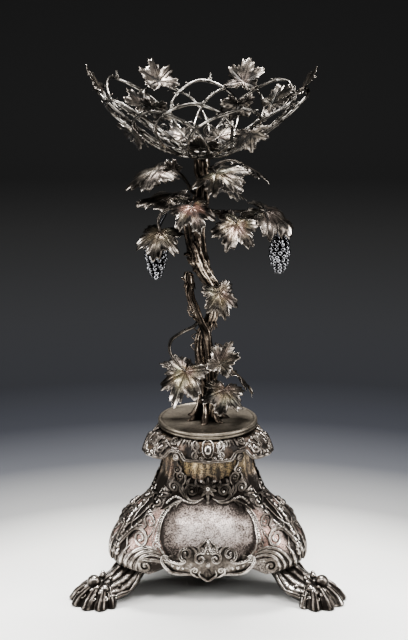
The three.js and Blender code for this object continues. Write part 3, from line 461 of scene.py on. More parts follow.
# %% The base shell
def shell_skin(columns=312, down=120, up=26):
    """A ring of profile loops: outside stations, then the wall's inside, then the hole."""
    degrees = np.arange(columns) * 360 / columns
    local = (degrees + 60) % 120 - 60
    outer = np.concatenate([[0], np.linspace(0.9, last_station, down)])
    phi, station = np.meshgrid(local, outer, indexing="ij")
    phi_in, station_in = np.meshgrid(local, np.linspace(last_station, 2, up), indexing="ij")
    r, z = base_outline(phi_in, station_in)
    inside = round_points(np.radians(phi_in - 90), r - wall, np.minimum(z, neck_top - wall))
    inside[:, 0, 2] += 0.6
    bore = round_points(np.radians(local - 90)[:, None], rod_hole, neck_top - wall)
    grid = np.concatenate([base_surface(phi, station), inside, bore], 1)
    spin = np.radians(degrees - local)[:, None]
    x, y = grid[..., 0].copy(), grid[..., 1].copy()
    grid[..., 0] = x * np.cos(spin) - y * np.sin(spin)
    grid[..., 1] = x * np.sin(spin) + y * np.cos(spin)
    tarnish_and_shade, warm = shell_shade_and_tarnish(phi, station)
    rest = np.full((columns, up + 1), 0.85)
    return skin(grid, np.concatenate([tarnish_and_shade, rest], 1), np.concatenate([warm, 0 * rest], 1), ring=True)


def shell_shade_and_tarnish(phi, station):
    """How dark and how warm the outside is. The dome's colour is darkened towards its rim and its top as
    painted shade, a groove rings it, the corners' straps are dark, and neck and side fields carry the
    films."""
    r, z = base_outline(phi, station)
    reach = cushion_reach(phi, r, z)
    aside = np.abs(r * np.sin(np.radians(phi)))
    corner = r * np.sin(np.radians(60 - np.abs(phi)))
    on_neck = progress(z, 121, 126)
    field = (reach > 1.1) * progress(z, 50, 60) * progress(z, 100, 92) * progress(corner, 12, 18)
    # painted shade: inside the dome the colour darkens towards its rim and its top; outside it the tone
    # varies at random
    dome = 0.02 + 0.78 * progress(reach, 0.15, 1.15) ** 1.25 + 0.3 * progress(z, 88, 102)
    dome_shade_and_patches = np.where(reach < 1, dome, 0.5 + 0.25 * wave(phi / 9, z / 7, 5))
    groove = 0.6 * np.exp(-((reach - 1.04) / 0.07) ** 2)
    strap = 0.3 * progress(corner, 15, 10) * progress(z, 50, 58) * (1 - on_neck)
    neck = on_neck * (0.2 - 0.3 * fluting(phi))
    tarnish_and_shade = np.clip(dome_shade_and_patches + groove + strap - neck - 0.34 * field, 0, 1)
    warm = np.clip(on_neck + 0.9 * field + 0.22 * (reach < 1), 0, 0.95)
    return tarnish_and_shade, np.clip(warm * (0.8 + 0.2 * wave(aside / 6, z / 6, 9)), 0, 1)


def lug_skin(low=40.0, high=46.0, inner=64.0, outer=109.0, half=14.0, at=85.0, hole=2.8):
    """A plate with a hole: round the hole, each loop is outer edge, hole edge, and back."""
    a = circle(48)
    ray = np.stack([np.cos(a), np.sin(a)], 1)
    wide = np.where(ray[:, 0] > 0, outer - at, at - inner) / np.maximum(np.abs(ray[:, 0]), 1e-6)
    edge = np.minimum(wide, half / np.maximum(np.abs(ray[:, 1]), 1e-6))[:, None] * ray + [at, 0]
    rim = hole * ray + [at, 0]
    loop = [np.column_stack([edge, np.full(48, low)]), np.column_stack([edge, np.full(48, high)]),
            np.column_stack([rim, np.full(48, high)]), np.column_stack([rim, np.full(48, low)])]
    return skin(np.stack(loop, 1), 0.8, ring=True)


lugs = [s for degrees in foot_angles for s in turn([lug_skin()], degrees)]
make_piece("base_shell_skin", [shell_skin()] + lugs, cushion_silver, "stand", "base", "base_shell")

# %% [markdown]
# The scrolls are cast in relief. A flat picture of lines could be pressed in with a bump
# texture, but then nothing stands out at the edge of the base. Each scroll is therefore a
# ribbon with a rounded section that runs along the surface and winds up in a spiral.

# %% Ribbons, beads and scrolls
def ribbon(point, normal, width, height, grooved=0.0, shade=0.0):
    """A raised ribbon: across its width the section rises as half an ellipse, with a dip
    down the middle where it is grooved, and sinks a little under the surface."""
    along = unit(np.gradient(point, axis=0))
    side = unit(np.cross(along, normal))
    a = np.linspace(0, np.pi, 9)
    across = np.concatenate([np.cos(a), [-0.8, 0.8]])
    dip = 1 - grooved * np.exp(-(np.cos(a) / 0.35) ** 2)
    rise = np.concatenate([np.sin(a) ** 0.8 * dip, [-0.5, -0.5]])
    width, height = (np.broadcast_to(v, len(point))[:, None, None] for v in (width, height))
    aside = side[:, None] * across[None, :, None] * width
    grid = point[:, None] + aside + normal[:, None] * rise[None, :, None] * height
    return skin(grid, np.broadcast_to(np.clip(0.95 - 0.95 * rise + shade, 0, 1), grid.shape[:2]))


def bead(point, normal, size, long=1.0, along=None, flat=0.75, tarnish_and_shade=0.0):
    """Half-sunk beads: rings round the normal, flattened along it and stretched along the line
    if asked. A large bead has more rings."""
    rings, sides = (12, 22) if np.max(size) > 3 else (6, 10)
    polar = np.linspace(0.12, 0.88, rings)[:, None] * np.pi
    a = circle(sides)
    made = []
    point, normal = np.atleast_2d(point), np.atleast_2d(normal)
    size = np.broadcast_to(size, len(point))
    for i, (p, n) in enumerate(zip(point, normal)):
        t = unit(np.cross(n, [0.3, 0.2, 1])) if along is None else unit(np.atleast_2d(along)[i])
        side = np.cross(n, t)
        ring = np.sin(polar)[..., None] * (np.cos(a)[:, None] * t * long + np.sin(a)[:, None] * side)
        grid = p + size[i] * (ring + flat * np.cos(polar)[..., None] * n)
        made.append(skin(grid, np.clip(0.55 - np.cos(polar) * 0.9 + tarnish_and_shade, 0, 1)))
    return made


def scroll(tail, middle, radius, start, turns, hand, steps=56):
    """A line through the tail's points that winds up round the middle: its distance from
    there shrinks evenly while its angle grows."""
    u = np.linspace(0, 1, max(8, int(14 * turns)))
    a = np.radians(start) + hand * 2 * np.pi * turns * u
    reach = radius * (1 - 0.80 * u)
    wound = np.array(middle) + np.stack([reach * np.cos(a), reach * np.sin(a)], 1)
    points = np.concatenate([np.array(tail, float).reshape(-1, 2), wound])
    return through(points, steps)


def fade(n, start=0.35, end=0.45, peak=0.35):
    """Widths along a ribbon: up from the start to the peak, then down to the end."""
    u = np.linspace(0, 1, n)
    return np.where(u < peak, start + (1 - start) * np.sin(u / peak * np.pi / 2),
                    1 + (end - 1) * (np.maximum(u - peak, 0) / (1 - peak)) ** 1.3)


def both_sides(paths):
    """Each path and its mirror image across the middle of the panel."""
    return [p * [sign, 1] for p in paths for sign in (1, -1)]


def relief(paths, width, height, grooved=0.0, lift=0.0, knob=0.0, shade=0.0, **fading):
    """Ribbons on the base along each path, with a bead at the spiral's eye if asked."""
    made = []
    for path in both_sides(paths):
        point, normal = on_base(path, lift)
        size = fade(len(path), **fading)
        made.append(ribbon(point, normal, 1.15 * width * size, 1.3 * height * size, grooved, shade=shade))
        if knob:
            made += bead(point[-1], normal[-1], knob)
    return made


def bead_row(path, sizes, long=1.0, lift=0.0):
    """A row of beads on the base and its mirror image, stretched along the row if asked."""
    made = []
    for side_path in both_sides([path]):
        point, normal = on_base(side_path, lift)
        made += bead(point, normal, sizes, long, np.gradient(point, axis=0) if long > 1 else None)
    return made


def studs(spots, lift, long, flat=0.75, tarnish_and_shade=0.0):
    """Single beads on the base from (x, z, size), each stretched downwards."""
    made = []
    for x, z, size in spots:
        point, normal = on_base(np.array([(x, z), (x, z - 1)]), lift)
        made += bead(point[0], normal[0], size, long, point[1] - point[0], flat, tarnish_and_shade)
    return made


def spiral(middle, first, second, radius, start, turns, steps, shrink=0.8):
    """A spiral in space: middle + reach * (cos a * one direction + sin a * another), where
    reach shrinks evenly. It gives the line and the reach."""
    u = np.linspace(0, 1, steps)[:, None]
    a = np.radians(start) + 2 * np.pi * turns * u
    reach = radius * (1 - shrink * u)
    return middle + reach * (np.cos(a) * first + np.sin(a) * second), reach


# %% [markdown]
# The scrollwork of one panel, all in the front view's millimetres: a beaded strip
# frames the domed field, two scrolls climb the pink field beside it, a large volute turns
# under the knee with reeds above it, and a row of growing beads runs down each corner. The
# two side panels also carry the knobs that are seen against the dark at both shoulders.

# %% Scrollwork of a panel
def panel_scrolls():
    """The ribbons and beads of one panel, from a list of lines for each kind."""
    inner = through([(27, 102), (37, 97), (46.8, 86.4), (49.4, 78), (50.4, 69), (47.5, 61), (41, 54)], 60)
    outer = through([(38, 101), (48.9, 89.3), (54.6, 78.2), (58.0, 67)], 44)
    made = relief([inner], 0.85, 1.3) + relief([outer], 0.8, 1.2)
    between = through([(38.8, 98), (47.6, 88.2), (51.6, 78), (53.6, 69.5)], 15)
    made += bead_row(between, np.linspace(0.9, 2.0, 15), 1.25)
    curl = scroll([(39, 53), (44, 57), (48.2, 62)], (53.6, 65.0), 4.2, 200, 1.25, -1)
    small = scroll([(72, 73.5), (68.5, 76), (65.5, 78.6)], (59.3, 84.4), 5.9, -40, 1.6, 1)
    climb = [(95.5, 42), (95, 50), (91.5, 59), (84.5, 67.5), (77.5, 74.2)]
    large = scroll(climb, (69.8, 69.6), 8.0, 38, 1.7, 1, 90)
    made += relief([curl], 1.1, 1.5, knob=1.3) + relief([small], 1.35, 1.9, 0.25, knob=1.6)
    made += relief([large], 2.0, 2.6, 0.35, knob=2.1, start=0.5)
    low = scroll([(41, 50), (48, 50.6), (55, 51.4)], (64.0, 44.6), 7.4, 115, 1.35, -1, 80)
    made += relief([low], 1.8, 2.6, 0.2, knob=2.5, start=0.5, end=0.6)
    reeds = [[(46.5, 54.2), (58, 56.6), (68.5, 52.6), (74.0, 42), (73.5, 37.5)],
             [(47.5, 57.6), (60, 60), (72, 55), (79, 44.5), (79, 38)],
             [(50, 60.8), (62, 63), (75, 58), (84, 47), (85, 38.5)],
             [(80.5, 62), (86.5, 54), (90, 45), (90.5, 38.5)]]
    made += relief([through(r, 44) for r in reeds], 2.1, 1.9, start=0.25, end=0.7, peak=0.5)
    strap = [(44, 113), (51, 101), (60.1, 91.5), (71.7, 80.8), (80.6, 74), (87, 67.4), (93.2, 60.5),
             (97.5, 52)]
    made += bead_row(through(strap, 13), np.linspace(1.7, 4.3, 13), 1.15)
    edging = [(47, 113), (54.6, 101.6), (64, 92), (75.6, 82), (85, 75), (91.6, 68.4), (97.4, 61.5),
              (101, 53)]
    made += relief([through(edging, 60)], 0.9, 1.3, start=0.6, end=1.0)
    flames = [[(62, 71), (58, 76), (53.5, 86)],
              [(75, 78.5), (69, 80), (63.5, 79)],
              [(57, 92), (63, 90.5), (68, 85)]]
    made += relief([through(f, 20) for f in flames], 1.0, 1.0, start=0.8, end=0.1, peak=0.2)
    return made


def shoulder(side):
    """Knobs and a curl that stand well out at the upper corner of a side panel's frame."""
    knobs = [(39, 89, 3.4), (41.5, 84.4, 4.4), (44.4, 78.6, 3.6), (43, 72.6, 4.6),
             (46.6, 66.6, 3.4), (47.4, 84.8, 3.0), (49.6, 76, 3.2), (37.4, 81, 2.6)]
    made = studs([(side * x, z, size) for x, z, size in knobs], 2.2, 1.2, 0.95, 0.25)
    line = scroll([(45, 60), (49, 64), (50, 69)], (45.4, 72), 5.0, 20, 1.4, 1, 50) * [side, 1]
    point, normal = on_base(line, 2.0)
    return made + [ribbon(point, normal, 1.5 * fade(50), 3.0 * fade(50), 0.2, shade=0.2)]


scrolls = panel_scrolls()
shoulders = [[], shoulder(-1), shoulder(1)]
for degrees, label, knobs in zip(panel_angles, ("front", "right", "left"), shoulders):
    make_piece("scrollwork_" + label, turn(scrolls + knobs, degrees - 270), silver, "stand", "base")

# %% [markdown]
# Aprons hang from the hem and crests sit under the neck. They were cast apart and soldered
# on, so each is a slab with its own outline, and the same ribbons lie on its face. The
# palmette is a fan of lobes; the bottom of the apron is a small shell.

# %% Cast mounts
apron_top = [(0, 74), (3, 70), (6, 63), (9, 65), (13, 66), (16, 61), (18.5, 55.5), (21, 54.5),
             (24, 58.5), (27.5, 55)]
apron_bottom = [(0, 27), (5, 31), (9, 34), (13, 35), (19, 37), (24, 42), (27.5, 50)]
crest_top = [(0, 129), (5, 126), (10, 121), (16, 124), (24, 127), (31, 128), (38, 118), (45, 105)]
crest_bottom = [(0, 103), (5, 106), (9, 110), (14, 109), (22, 106), (30, 101), (38, 97), (45, 94)]


def mount_skin(top, bottom, half_angle, proud, darker, patchy, wide=120, high=22):
    """A slab: height runs from the lower to the upper outline, the face stands out by
    proud with rounded edges, and the back lies just under the base's surface."""
    degrees = np.linspace(-half_angle, half_angle, wide)
    t = np.linspace(0, 1, high)
    low = np.interp(np.abs(degrees), *np.transpose(bottom))[:, None]
    tall = np.interp(np.abs(degrees), *np.transpose(top))[:, None] - low
    phi, z = np.broadcast_arrays(degrees[:, None], low + tall * t)
    station = station_at(phi, z)
    end = 1 - (np.abs(phi) / half_angle) ** 6
    edge = np.minimum(1, 5 * t * (1 - t)) ** 0.6 * end
    rough = 0.25 * wave(phi * 1.2, z / 2.2, 3)
    front = base_surface(phi, station, proud * (0.15 + 0.75 * edge) + rough * edge)
    back = base_surface(phi, station, -1.2)
    front[..., 2], back[..., 2] = z, z
    patches = patchy * wave(phi / 2, z / 3, 4) * (1 - darker)
    tarnish_and_shade = np.clip(0.7 + darker + patches - 0.15 * edge, 0, 1)
    grid = np.concatenate([front, back[:, ::-1]], 1)
    return skin(grid, np.concatenate([tarnish_and_shade, np.full_like(tarnish_and_shade, 0.9)], 1))


def lobes(middle, reach, width, angles, lift, height=2.0, shade=0.0):
    """A fan of pointed lobes, each a ribbon that is widest past its middle."""
    made = []
    for angle, long in angles:
        a = np.radians(angle)
        u = np.linspace(0.12, 1, 16)[:, None]
        path = np.array(middle) + reach * long * u * [np.cos(a), np.sin(a)]
        point, normal = on_base(path, lift)
        size = np.sin(np.pi * (0.12 + 0.86 * u[:, 0])) ** 0.8
        made.append(ribbon(point, normal, width * size, height * size, 0.3, shade=shade))
    return made


def apron_skins():
    """The apron: a slab, a palmette between two curls, scrolls, a volute and a leaf on each
    side, the rims of the side lobes, and a small shell with its edge at the bottom."""
    lift = 2.2
    made = [mount_skin(apron_top, apron_bottom, 27.5, 3, -0.25, 0.15)]
    curl = scroll([(0.8, 73.4), (4.6, 69.4), (9.4, 65.4)], (6.4, 63.6), 3.0, 20, 1.2, -1, 44)
    made += relief([curl], 1.3, 2.0, lift=lift, knob=1.3)
    inner = scroll([(1.6, 66), (3.0, 61.4)], (7.6, 54.6), 6.4, 120, 1.3, -1, 70)
    made += relief([inner], 1.6, 2.9, 0.15, lift, 1.8, -0.15)
    volute = scroll([(42, 56), (37.5, 52.2), (29.5, 50.4)], (21.6, 59.0), 7.2, -78, 1.3, 1, 80)
    made += relief([volute], 1.8, 3.3, 0.2, lift, 2.2, -0.2, start=0.7, end=0.6)
    leaf = through([(10.5, 58.6), (12.6, 62.4), (16.4, 65.4), (20.6, 66.4)], 30)
    made += relief([leaf], 1.5, 2.0, lift=lift, start=0.5, end=0.4)
    lobe = [(16, 36.4), (23.4, 37), (34.3, 38.4), (42, 43.8), (46.6, 50.8)]
    rim = scroll(lobe, (43.0, 54.2), 3.6, -10, 1.2, 1, 80)
    made += relief([rim], 1.9, 2.4, lift=lift - 0.6, knob=1.6, start=0.6, shade=-0.1)
    low = scroll([(7.5, 32), (12, 34), (16.4, 38)], (13.4, 41.2), 4.0, -30, 1.3, 1, 50)
    made += relief([low], 1.3, 1.9, lift=lift - 0.2, knob=1.2)
    shell_edge = through([(0.3, 28.6), (4.5, 31.6), (8.6, 36), (7.6, 40.6)], 30)
    made += relief([shell_edge], 1.3, 1.9, lift=lift, start=0.8, end=0.3, shade=-0.1)
    made += lobes((0, 62), 11.5, 1.7, [(90, 1)], lift, 2.4, -0.2)
    made += lobes((0, 44), 13, 1.5, [(-90, 1), (-66, 0.8), (-114, 0.8)], lift - 0.4, 2.0, 0.25)
    middle = [(0, 48, 3.0), (0, 60.4, 1.5), (0, 65, 1.9)]
    right = [(25, 43.6, 1.5), (30, 44.6, 2.0), (35.4, 47, 1.5)]
    return made + studs(middle + right + [(-x, z, size) for x, z, size in right], lift, 1.3)


def crest_skins():
    """The crest: a dark slab, a palmette over a drop, two large scrolls, a corner scroll, a
    neck scroll and flames on each side, berries, and a wavy band along the lower edge."""
    lift, shade = 1.6, 0.16
    made = [mount_skin(crest_top, crest_bottom, 45, 2, 0.35, 0.4)]
    fan = [(90, 1), (58, 0.95), (122, 0.95), (24, 0.85), (156, 0.85), (-12, 0.75), (192, 0.75),
           (-50, 0.8), (-130, 0.8), (-90, 1.2)]
    made += lobes((0, 115.5), 12.5, 1.8, fan, lift, 2.6, shade)
    made += studs([(0, 116, 2.2), (0, 103.4, 1.7), (-6.6, 123.5, 1.2), (6.6, 123.5, 1.2)], lift + 0.8, 1.25)
    stalk = [(4, 106.6), (9.5, 104.2), (17.5, 104.4), (22.6, 109)]
    large = scroll(stalk, (16.1, 114.2), 6.4, -25, 1.8, 1, 66)
    second = scroll([(24, 107), (26, 110.5), (28, 113.6)], (33.6, 116.8), 5.8, 200, 1.7, -1, 60)
    corner = scroll([(39, 108), (43.5, 106.4), (49, 106)], (51.6, 101.4), 5.6, 90, 1.6, -1, 56)
    made += relief([large], 1.35, 2.0, 0.25, lift, 1.7, shade)
    made += relief([second, corner], 1.3, 1.9, 0.25, lift - 0.2, 1.6, shade)
    band = [(7, 105), (12, 102.2), (19, 102.6), (26.5, 104.6), (32, 102.6), (38.2, 99), (44.4, 95.2)]
    made += relief([through(band, 60)], 1.5, 2.1, lift=lift - 0.3, start=0.7, shade=shade)
    side = scroll([(25.4, 118.5), (23, 123)], (27.6, 127.4), 4.8, 190, 1.5, -1, 44)
    stem = scroll([(31.4, 149), (30.2, 142)], (31.4, 134.4), 3.8, 150, 1.4, 1, 40)
    made += relief([side, stem], 1.15, 1.7, lift=lift - 0.8, knob=1.4, shade=shade)
    flames = [[(10, 117), (12.4, 121.5), (12, 126)], [(20.4, 119.6), (20, 123.4), (17.4, 126.6)],
              [(23, 111), (25.4, 115.5), (26, 121)], [(38, 112), (41, 113.4), (43.6, 118)],
              [(37, 108.6), (42, 109.8), (47.6, 109.6)], [(33, 123), (34.6, 127), (33.4, 131)],
              [(27, 103.6), (30, 100.6), (31, 97.4)], [(35, 100), (37.6, 97), (38.4, 93.6)],
              [(56, 98), (59, 96), (61, 92)]]
    made += relief([through(f, 18) for f in flames], 1.5, 1.9, 0.3, lift - 0.4, 0.0, shade,
                   start=0.8, end=0.1, peak=0.3)
    berries = through([(22, 104), (28, 106.5), (33, 107.6), (37, 105.4), (41.4, 101.4)], 9)
    return made + bead_row(berries, 1.45, lift=lift)


apron, crest = apron_skins(), crest_skins()
for i, degrees in enumerate(panel_angles, 1):
    make_piece(f"apron_{i}", turn(apron, degrees - 270), silver, "stand", "mount", f"apron_mount_{i}")
    make_piece(f"crest_{i}", turn(crest, degrees - 270), silver, "stand", "mount", f"crest_mount_{i}")

# %% [markdown]
# The collar is one casting that laps over the neck. Its outline runs from under the
# plate out and down to a lip, dips into notches between panel and corner, and carries an
# oval boss, paired scrolls and acanthus flutes. A small volute hangs in each notch.

# %% The collar
collar_panel = np.array([(47, 169.7), (51, 168.5), (54.5, 162), (57, 156), (58.5, 150.5)])
collar_corner = np.array([(47, 169.7), (55, 168.5), (62, 165), (69, 158), (71.5, 150.5)])
collar_reach, collar_face = 57, 5.2


def collar_surface(degrees, t, lift=0.0):
    """The collar's outside for t from 0 under the plate to 4 at the lip: panel and corner
    outlines are mixed as on the base, and the notch draws the lip up by 8.5."""
    turn_from = np.abs((degrees + 60) % 120 - 60)
    share = corner_share(turn_from)
    panel, corner = smooth_table(collar_panel, t), smooth_table(collar_corner, t)
    z = panel[..., 1] + (corner[..., 1] - panel[..., 1]) * share
    notch = eased(progress(turn_from, 23, 30)) * (1 - eased(progress(turn_from, 37, 44)))
    dip = notch * (1 - eased(progress(z, 150.5, 166)))
    lobe = progress(turn_from, 42, 48) * np.clip(t, 0, 1)
    ripple = 0.5 * (1 - lobe) * np.clip(t - 0.4, 0, 1) * np.cos(np.radians(24 * degrees))
    flute = 0.9 * lobe * np.abs(np.cos(np.radians(18 * (turn_from - 60)))) + ripple
    r = panel[..., 0] + (corner[..., 0] - panel[..., 0]) * share ** 1.5 - 2 * dip + flute + lift
    return round_points(np.radians(degrees - 90), r, z + 8.5 * dip)


def collar_skin(columns=264, down=30):
    """A ring of loops: the outside, then back under the lip and along the bore."""
    degrees = np.arange(columns) * 360 / columns
    phi, t = np.meshgrid(degrees, np.linspace(0, 4, down), indexing="ij")
    outside = collar_surface(phi, t)
    a = np.radians(phi[:, :1] - 90)
    low, radius = outside[:, -1:, 2], np.linalg.norm(outside[:, -1:, :2], axis=-1)
    under = [(radius - 2.6, low + 0.4), (radius - 5, low + 4), (47, np.maximum(163.4, low + 4.2)),
             (44, 166.3), (6.3, 166.3), (6.3, 169.7)]
    grid = np.concatenate([outside] + [round_points(a, r, z) for r, z in under], 1)
    tarnish_and_shade = np.clip(0.4 + 0.16 * wave(phi / 5, t * 2.5, 21) + 0.25 * (t < 0.5), 0, 1)
    warm = np.clip(0.5 + 0.4 * wave(phi / 8, t, 22), 0.15, 0.9)
    rest = np.full((columns, len(under)), 0.8)
    return skin(grid, np.concatenate([tarnish_and_shade, rest], 1), np.concatenate([warm, 0 * rest], 1), ring=True)


def on_collar(path, lift=0.0):
    """Points and normals on the collar for a path of (millimetres aside, way down 0 to 4)."""
    degrees, t = np.degrees(path[:, 0] / collar_reach), path[:, 1]
    point = collar_surface(degrees, t, lift)
    across = collar_surface(degrees + 0.8, t) - collar_surface(degrees - 0.8, t)
    down = collar_surface(degrees, np.clip(t + 0.15, 0, 4)) - collar_surface(degrees, t - 0.15)
    normal = unit(np.cross(across, down))
    return point, normal * np.sign((normal * (point * [1, 1, 0])).sum(1, keepdims=True))


def on_lip(paths, width, height, grooved=0.0, knob=0.0, **fading):
    """Ribbons on the collar, given as (millimetres aside, millimetres down its face)."""
    made = []
    for path in both_sides([p / [1, collar_face] for p in paths]):
        point, normal = on_collar(path)
        size = fade(len(path), **fading)
        made.append(ribbon(point, normal, 1.1 * width * size, 1.2 * height * size, grooved))
        if knob:
            made += bead(point[-1], normal[-1], knob)
    return made


def lip_scrolls(rows):
    """A scroll on the collar for each row: its line, then width, height, groove and knob."""
    return [s for *line, width, height, grooved, knob in rows
            for s in on_lip([scroll(*line)], width, height, grooved, knob)]


def lip_beads(spots, long=1.0):
    """Beads on the collar from (aside, down, size) and their mirror images."""
    made = []
    for x, y, size in spots:
        for path in both_sides([np.array([(x, y), (x, y + 1)]) / [1, collar_face]]):
            point, normal = on_collar(path)
            made += bead(point[0], normal[0], size, long, point[1] - point[0] if long > 1 else None)
    return made


def notch_volute(side):
    """A disc with a spiral on it, hung in the notch on one side of the panel."""
    out, aside, up = compass(side * 33.5 - 90)
    hub = 57.2 * out + 153.4 * up
    line, reach = spiral(hub, aside, up, 5.4, 100, -side * 1.6, 48)
    line = line + out * (2.7 - 0.08 * reach ** 2)
    thread = ribbon(line, np.tile(out, (48, 1)), 1.2 * fade(48), 1.9 * fade(48), shade=0.2)
    return bead(hub, out, 6.0, 1.0, aside, 0.45, tarnish_and_shade=0.3) + [thread]


def collar_ornament():
    """The oval boss in its frame with scrolls beside it, the lip's moulding, the corner's
    scrolls, leaf tips, flutes and scattered beads, and fans and volutes in the notches."""
    point, normal = on_collar(np.array([(0, 1.9), (0, 2.3)]), 0.6)
    made = bead(point[0], normal[0], 3.9, 1.5, point[1] - point[0], 0.7)
    boss_frame = through([(0.4, 3.0), (4.6, 5), (5.6, 9.6), (4.0, 14.4), (3.0, 16)], 30)
    made += on_lip([boss_frame], 0.9, 1.6, start=1, end=1)
    made += lip_scrolls([
        ([(6.2, 12.2), (10.5, 12.6)], (12.8, 8.0), 4.2, -80, 1.5, 1, 50, 1.1, 1.8, 0, 1.3),
        ([(9, 19.4), (12, 19.8)], (13.0, 15.8), 3.6, -100, 1.4, 1, 50, 1.1, 1.8, 0, 1.2),
        ([(15.6, 13), (17.4, 9.6)], (18.4, 6.4), 2.6, -90, 1.2, 1, 36, 0.85, 1.3, 0, 0.9)])
    lip = [(0, 20.6), (8, 20.4), (17, 20), (24, 20), (28.5, 20), (34, 20), (39, 20), (44.5, 20),
           (50, 20), (59.7, 20)]
    made += on_lip([through(lip, 110)], 1.8, 2.6, 0.15, start=1, end=1)
    made += lip_scrolls([
        ([(0.6, 17.4), (3.4, 16.4)], (6.2, 18.2), 2.6, 100, 1.3, -1, 36, 1.0, 1.9, 0, 1.0),
        ([(32, 11.4), (33, 6.4)], (38.2, 6.0), 4.2, 150, 1.5, -1, 44, 1.4, 2.3, 0.2, 1.6),
        ([(51.6, 12.6), (55, 14)], (57.4, 10.4), 3.2, -60, 1.4, 1, 40, 1.1, 1.9, 0.2, 1.2),
        ([(36.5, 17), (39, 12.5), (43.5, 9.8)], (47.4, 12.4), 4.2, 140, 1.5, -1, 50, 1.2, 1.9, 0.2, 1.4),
        ([(45, 19.6), (49, 20)], (51.8, 17.4), 2.8, -90, 1.2, 1, 36, 0.9, 1.4, 0, 1.1)])
    fans = [[(33.6, 18.4), (30.2, 13.6)], [(33.8, 18.2), (32.4, 11.6)],
            [(34.2, 18.2), (35.2, 11.2)], [(34.6, 18.4), (38, 13)]]
    made += on_lip([through(f, 14) for f in fans], 1.3, 1.7, 0.3, start=0.5, end=0.2, peak=0.5)
    tips = [[(53 + 2.2 * k, 3 + k * 0.3), (54 + 2.1 * k, 9), (54.6 + 1.9 * k, 14)] for k in range(3)]
    made += on_lip([through(f, 16) for f in tips], 1.1, 1.6, 0.3, start=0.3, end=0.6, peak=0.6)
    flutes = [[(19.5 + 3.5 * k, 1.6), (20.6 + 3.5 * k, 5), (20.4 + 3.7 * k, 9.4)] for k in range(4)]
    made += on_lip([through(f, 16) for f in flutes], 1.7, 2.3, 0.2, start=0.5, end=0.4, peak=0.4)
    luck = np.random.default_rng(57)
    scattered = zip(luck.uniform(40, 60, 14), luck.uniform(5, 19, 14), luck.uniform(1.0, 2.3, 14))
    made += lip_beads(scattered, 1.3) + notch_volute(1) + notch_volute(-1)
    ends = [(56, 17.6), (59.7, 18.8), (52, 6.4), (44, 18.6), (50, 19.2)]
    return made + lip_beads([(x, y, 2.1) for x, y in ends])


collar_parts = [s for degrees in (0, 120, 240) for s in turn(collar_ornament(), degrees)]
make_piece("collar_casting", [collar_skin()] + collar_parts, silver, "stand", "mount", "collar")

# %% [markdown]
# The round plate is turned: one outline carried round the axis. Its rim is two rounded
# beads with a dark groove between them, and its top is dull and brown with age.

# %% The plate
def lathe(profile, columns, tarnish_and_shade):
    """A ring: the profile's radius and height are placed at every angle."""
    profile = np.asarray(profile, float)
    points = round_points(circle(columns)[:, None], profile[:, 0], profile[:, 1])
    return skin(points, tarnish_and_shade, ring=True)


rim = through([(45.5, 171.4), (50.6, 171.6), (52.2, 172.9), (52.1, 174.2), (51.0, 175.0), (51.5, 175.5),
               (52.3, 176.7), (51.8, 178.2), (50.6, 178.85), (49.2, 178.8), (48.4, 178.2)], 40)
plate_under = [(rod_hole, 170), (44.3, 170), (45.2, 170.6)]
plate_top = [(47.4, 178.05), (30, 178.1), (16, 178.2), (rod_hole, 178.2)]
plate_line = np.concatenate([plate_under, rim, plate_top])
plate_dark = np.interp(plate_line[:, 1], [170, 174.6, 175.1, 176, 179], [0.8, 0.34, 1.0, 0.2, 0.3])
plate_dark = np.clip(plate_dark + 0.1 * (plate_line[:, 0] < 49), 0, 1)
plate = lathe(plate_line, 160, plate_dark)
make_piece("plate_turning", [plate], dull_silver, "stand", "plate", "round_plate")

# %% [markdown]
# Each foot is a bracket that sweeps out and down to a shell of toes. Sharp grooves run
# down its back, and berries, knobs and small curls sit where leg and shell meet. Cross
# sections give the leg, and a fan of profiles gives the shell; grooves and toes are waves
# added to the height.

# %% Feet
foot_sections = np.array([
    (80, 35.3, 34.6, 31, 17), (92, 35.3, 31.5, 21, 22), (99, 35, 23, 14.5, 25), (106, 34.4, 15, 10, 25.5),
    (111, 31.5, 13.5, 8, 26), (117, 27.5, 12.5, 5.5, 25), (124, 24.5, 10, 3, 22), (131, 20, 5, 0.5, 16)])
toe_profile = np.array([(0, 20, 0), (0.35, 18.6, 0.8), (0.62, 13.6, 2.2), (0.85, 7, 2.6), (1, 1.4, 0.8)])
fan_middle, toe_spacing = 122, 26


def strands(s):
    """The leg's ridges across its half width s: 1 on each, 0 in the grooves between."""
    return np.abs(np.cos(4 * np.pi * s)) ** 0.6


def foot_surface(x, s, lift=0.0):
    """A leg's upper face: the ridge falls to the edge as |s| to the power 1.15, with sharp
    grooves wherever |cos(4 pi s)| comes down to nothing."""
    rows = smooth_table(foot_sections, np.interp(x, foot_sections[:, 0], np.arange(len(foot_sections))))
    ridge, edge, half = rows[..., 1], rows[..., 2], rows[..., 4]
    groove = -1.9 * progress(x, 90, 96) * (1 - strands(s))
    z = ridge - (ridge - edge) * np.abs(s) ** 1.15 + groove + lift
    return np.stack([x, half * s, np.maximum(z, 0.6)], -1), rows


def foot_body():
    """Loops across the leg: over the upper face and back along the underside."""
    x, s = np.meshgrid(np.linspace(80, 131, 70), np.linspace(-1, 1, 129), indexing="ij")
    upper, rows = foot_surface(x, s)
    low = np.linspace(0.85, -0.85, 9)[None]
    under = np.stack([x[:, :9], rows[:, :1, 4] * low, rows[:, :1, 3] + 0 * low], -1)
    tarnish_and_shade = np.clip(1.0 - 1.05 * strands(s) * (x > 91) + 0.2 * wave(x / 5, s * 4, 31), 0, 1)
    tarnish_and_shade = np.concatenate([tarnish_and_shade, np.full(under.shape[:2], 0.9)], 1)
    return skin(np.concatenate([upper, under], 1), tarnish_and_shade)


def toe_reach(degrees):
    """How far the shell of toes reaches from its middle, less towards its sides."""
    return 41 - 15 * (degrees / 90) ** 2


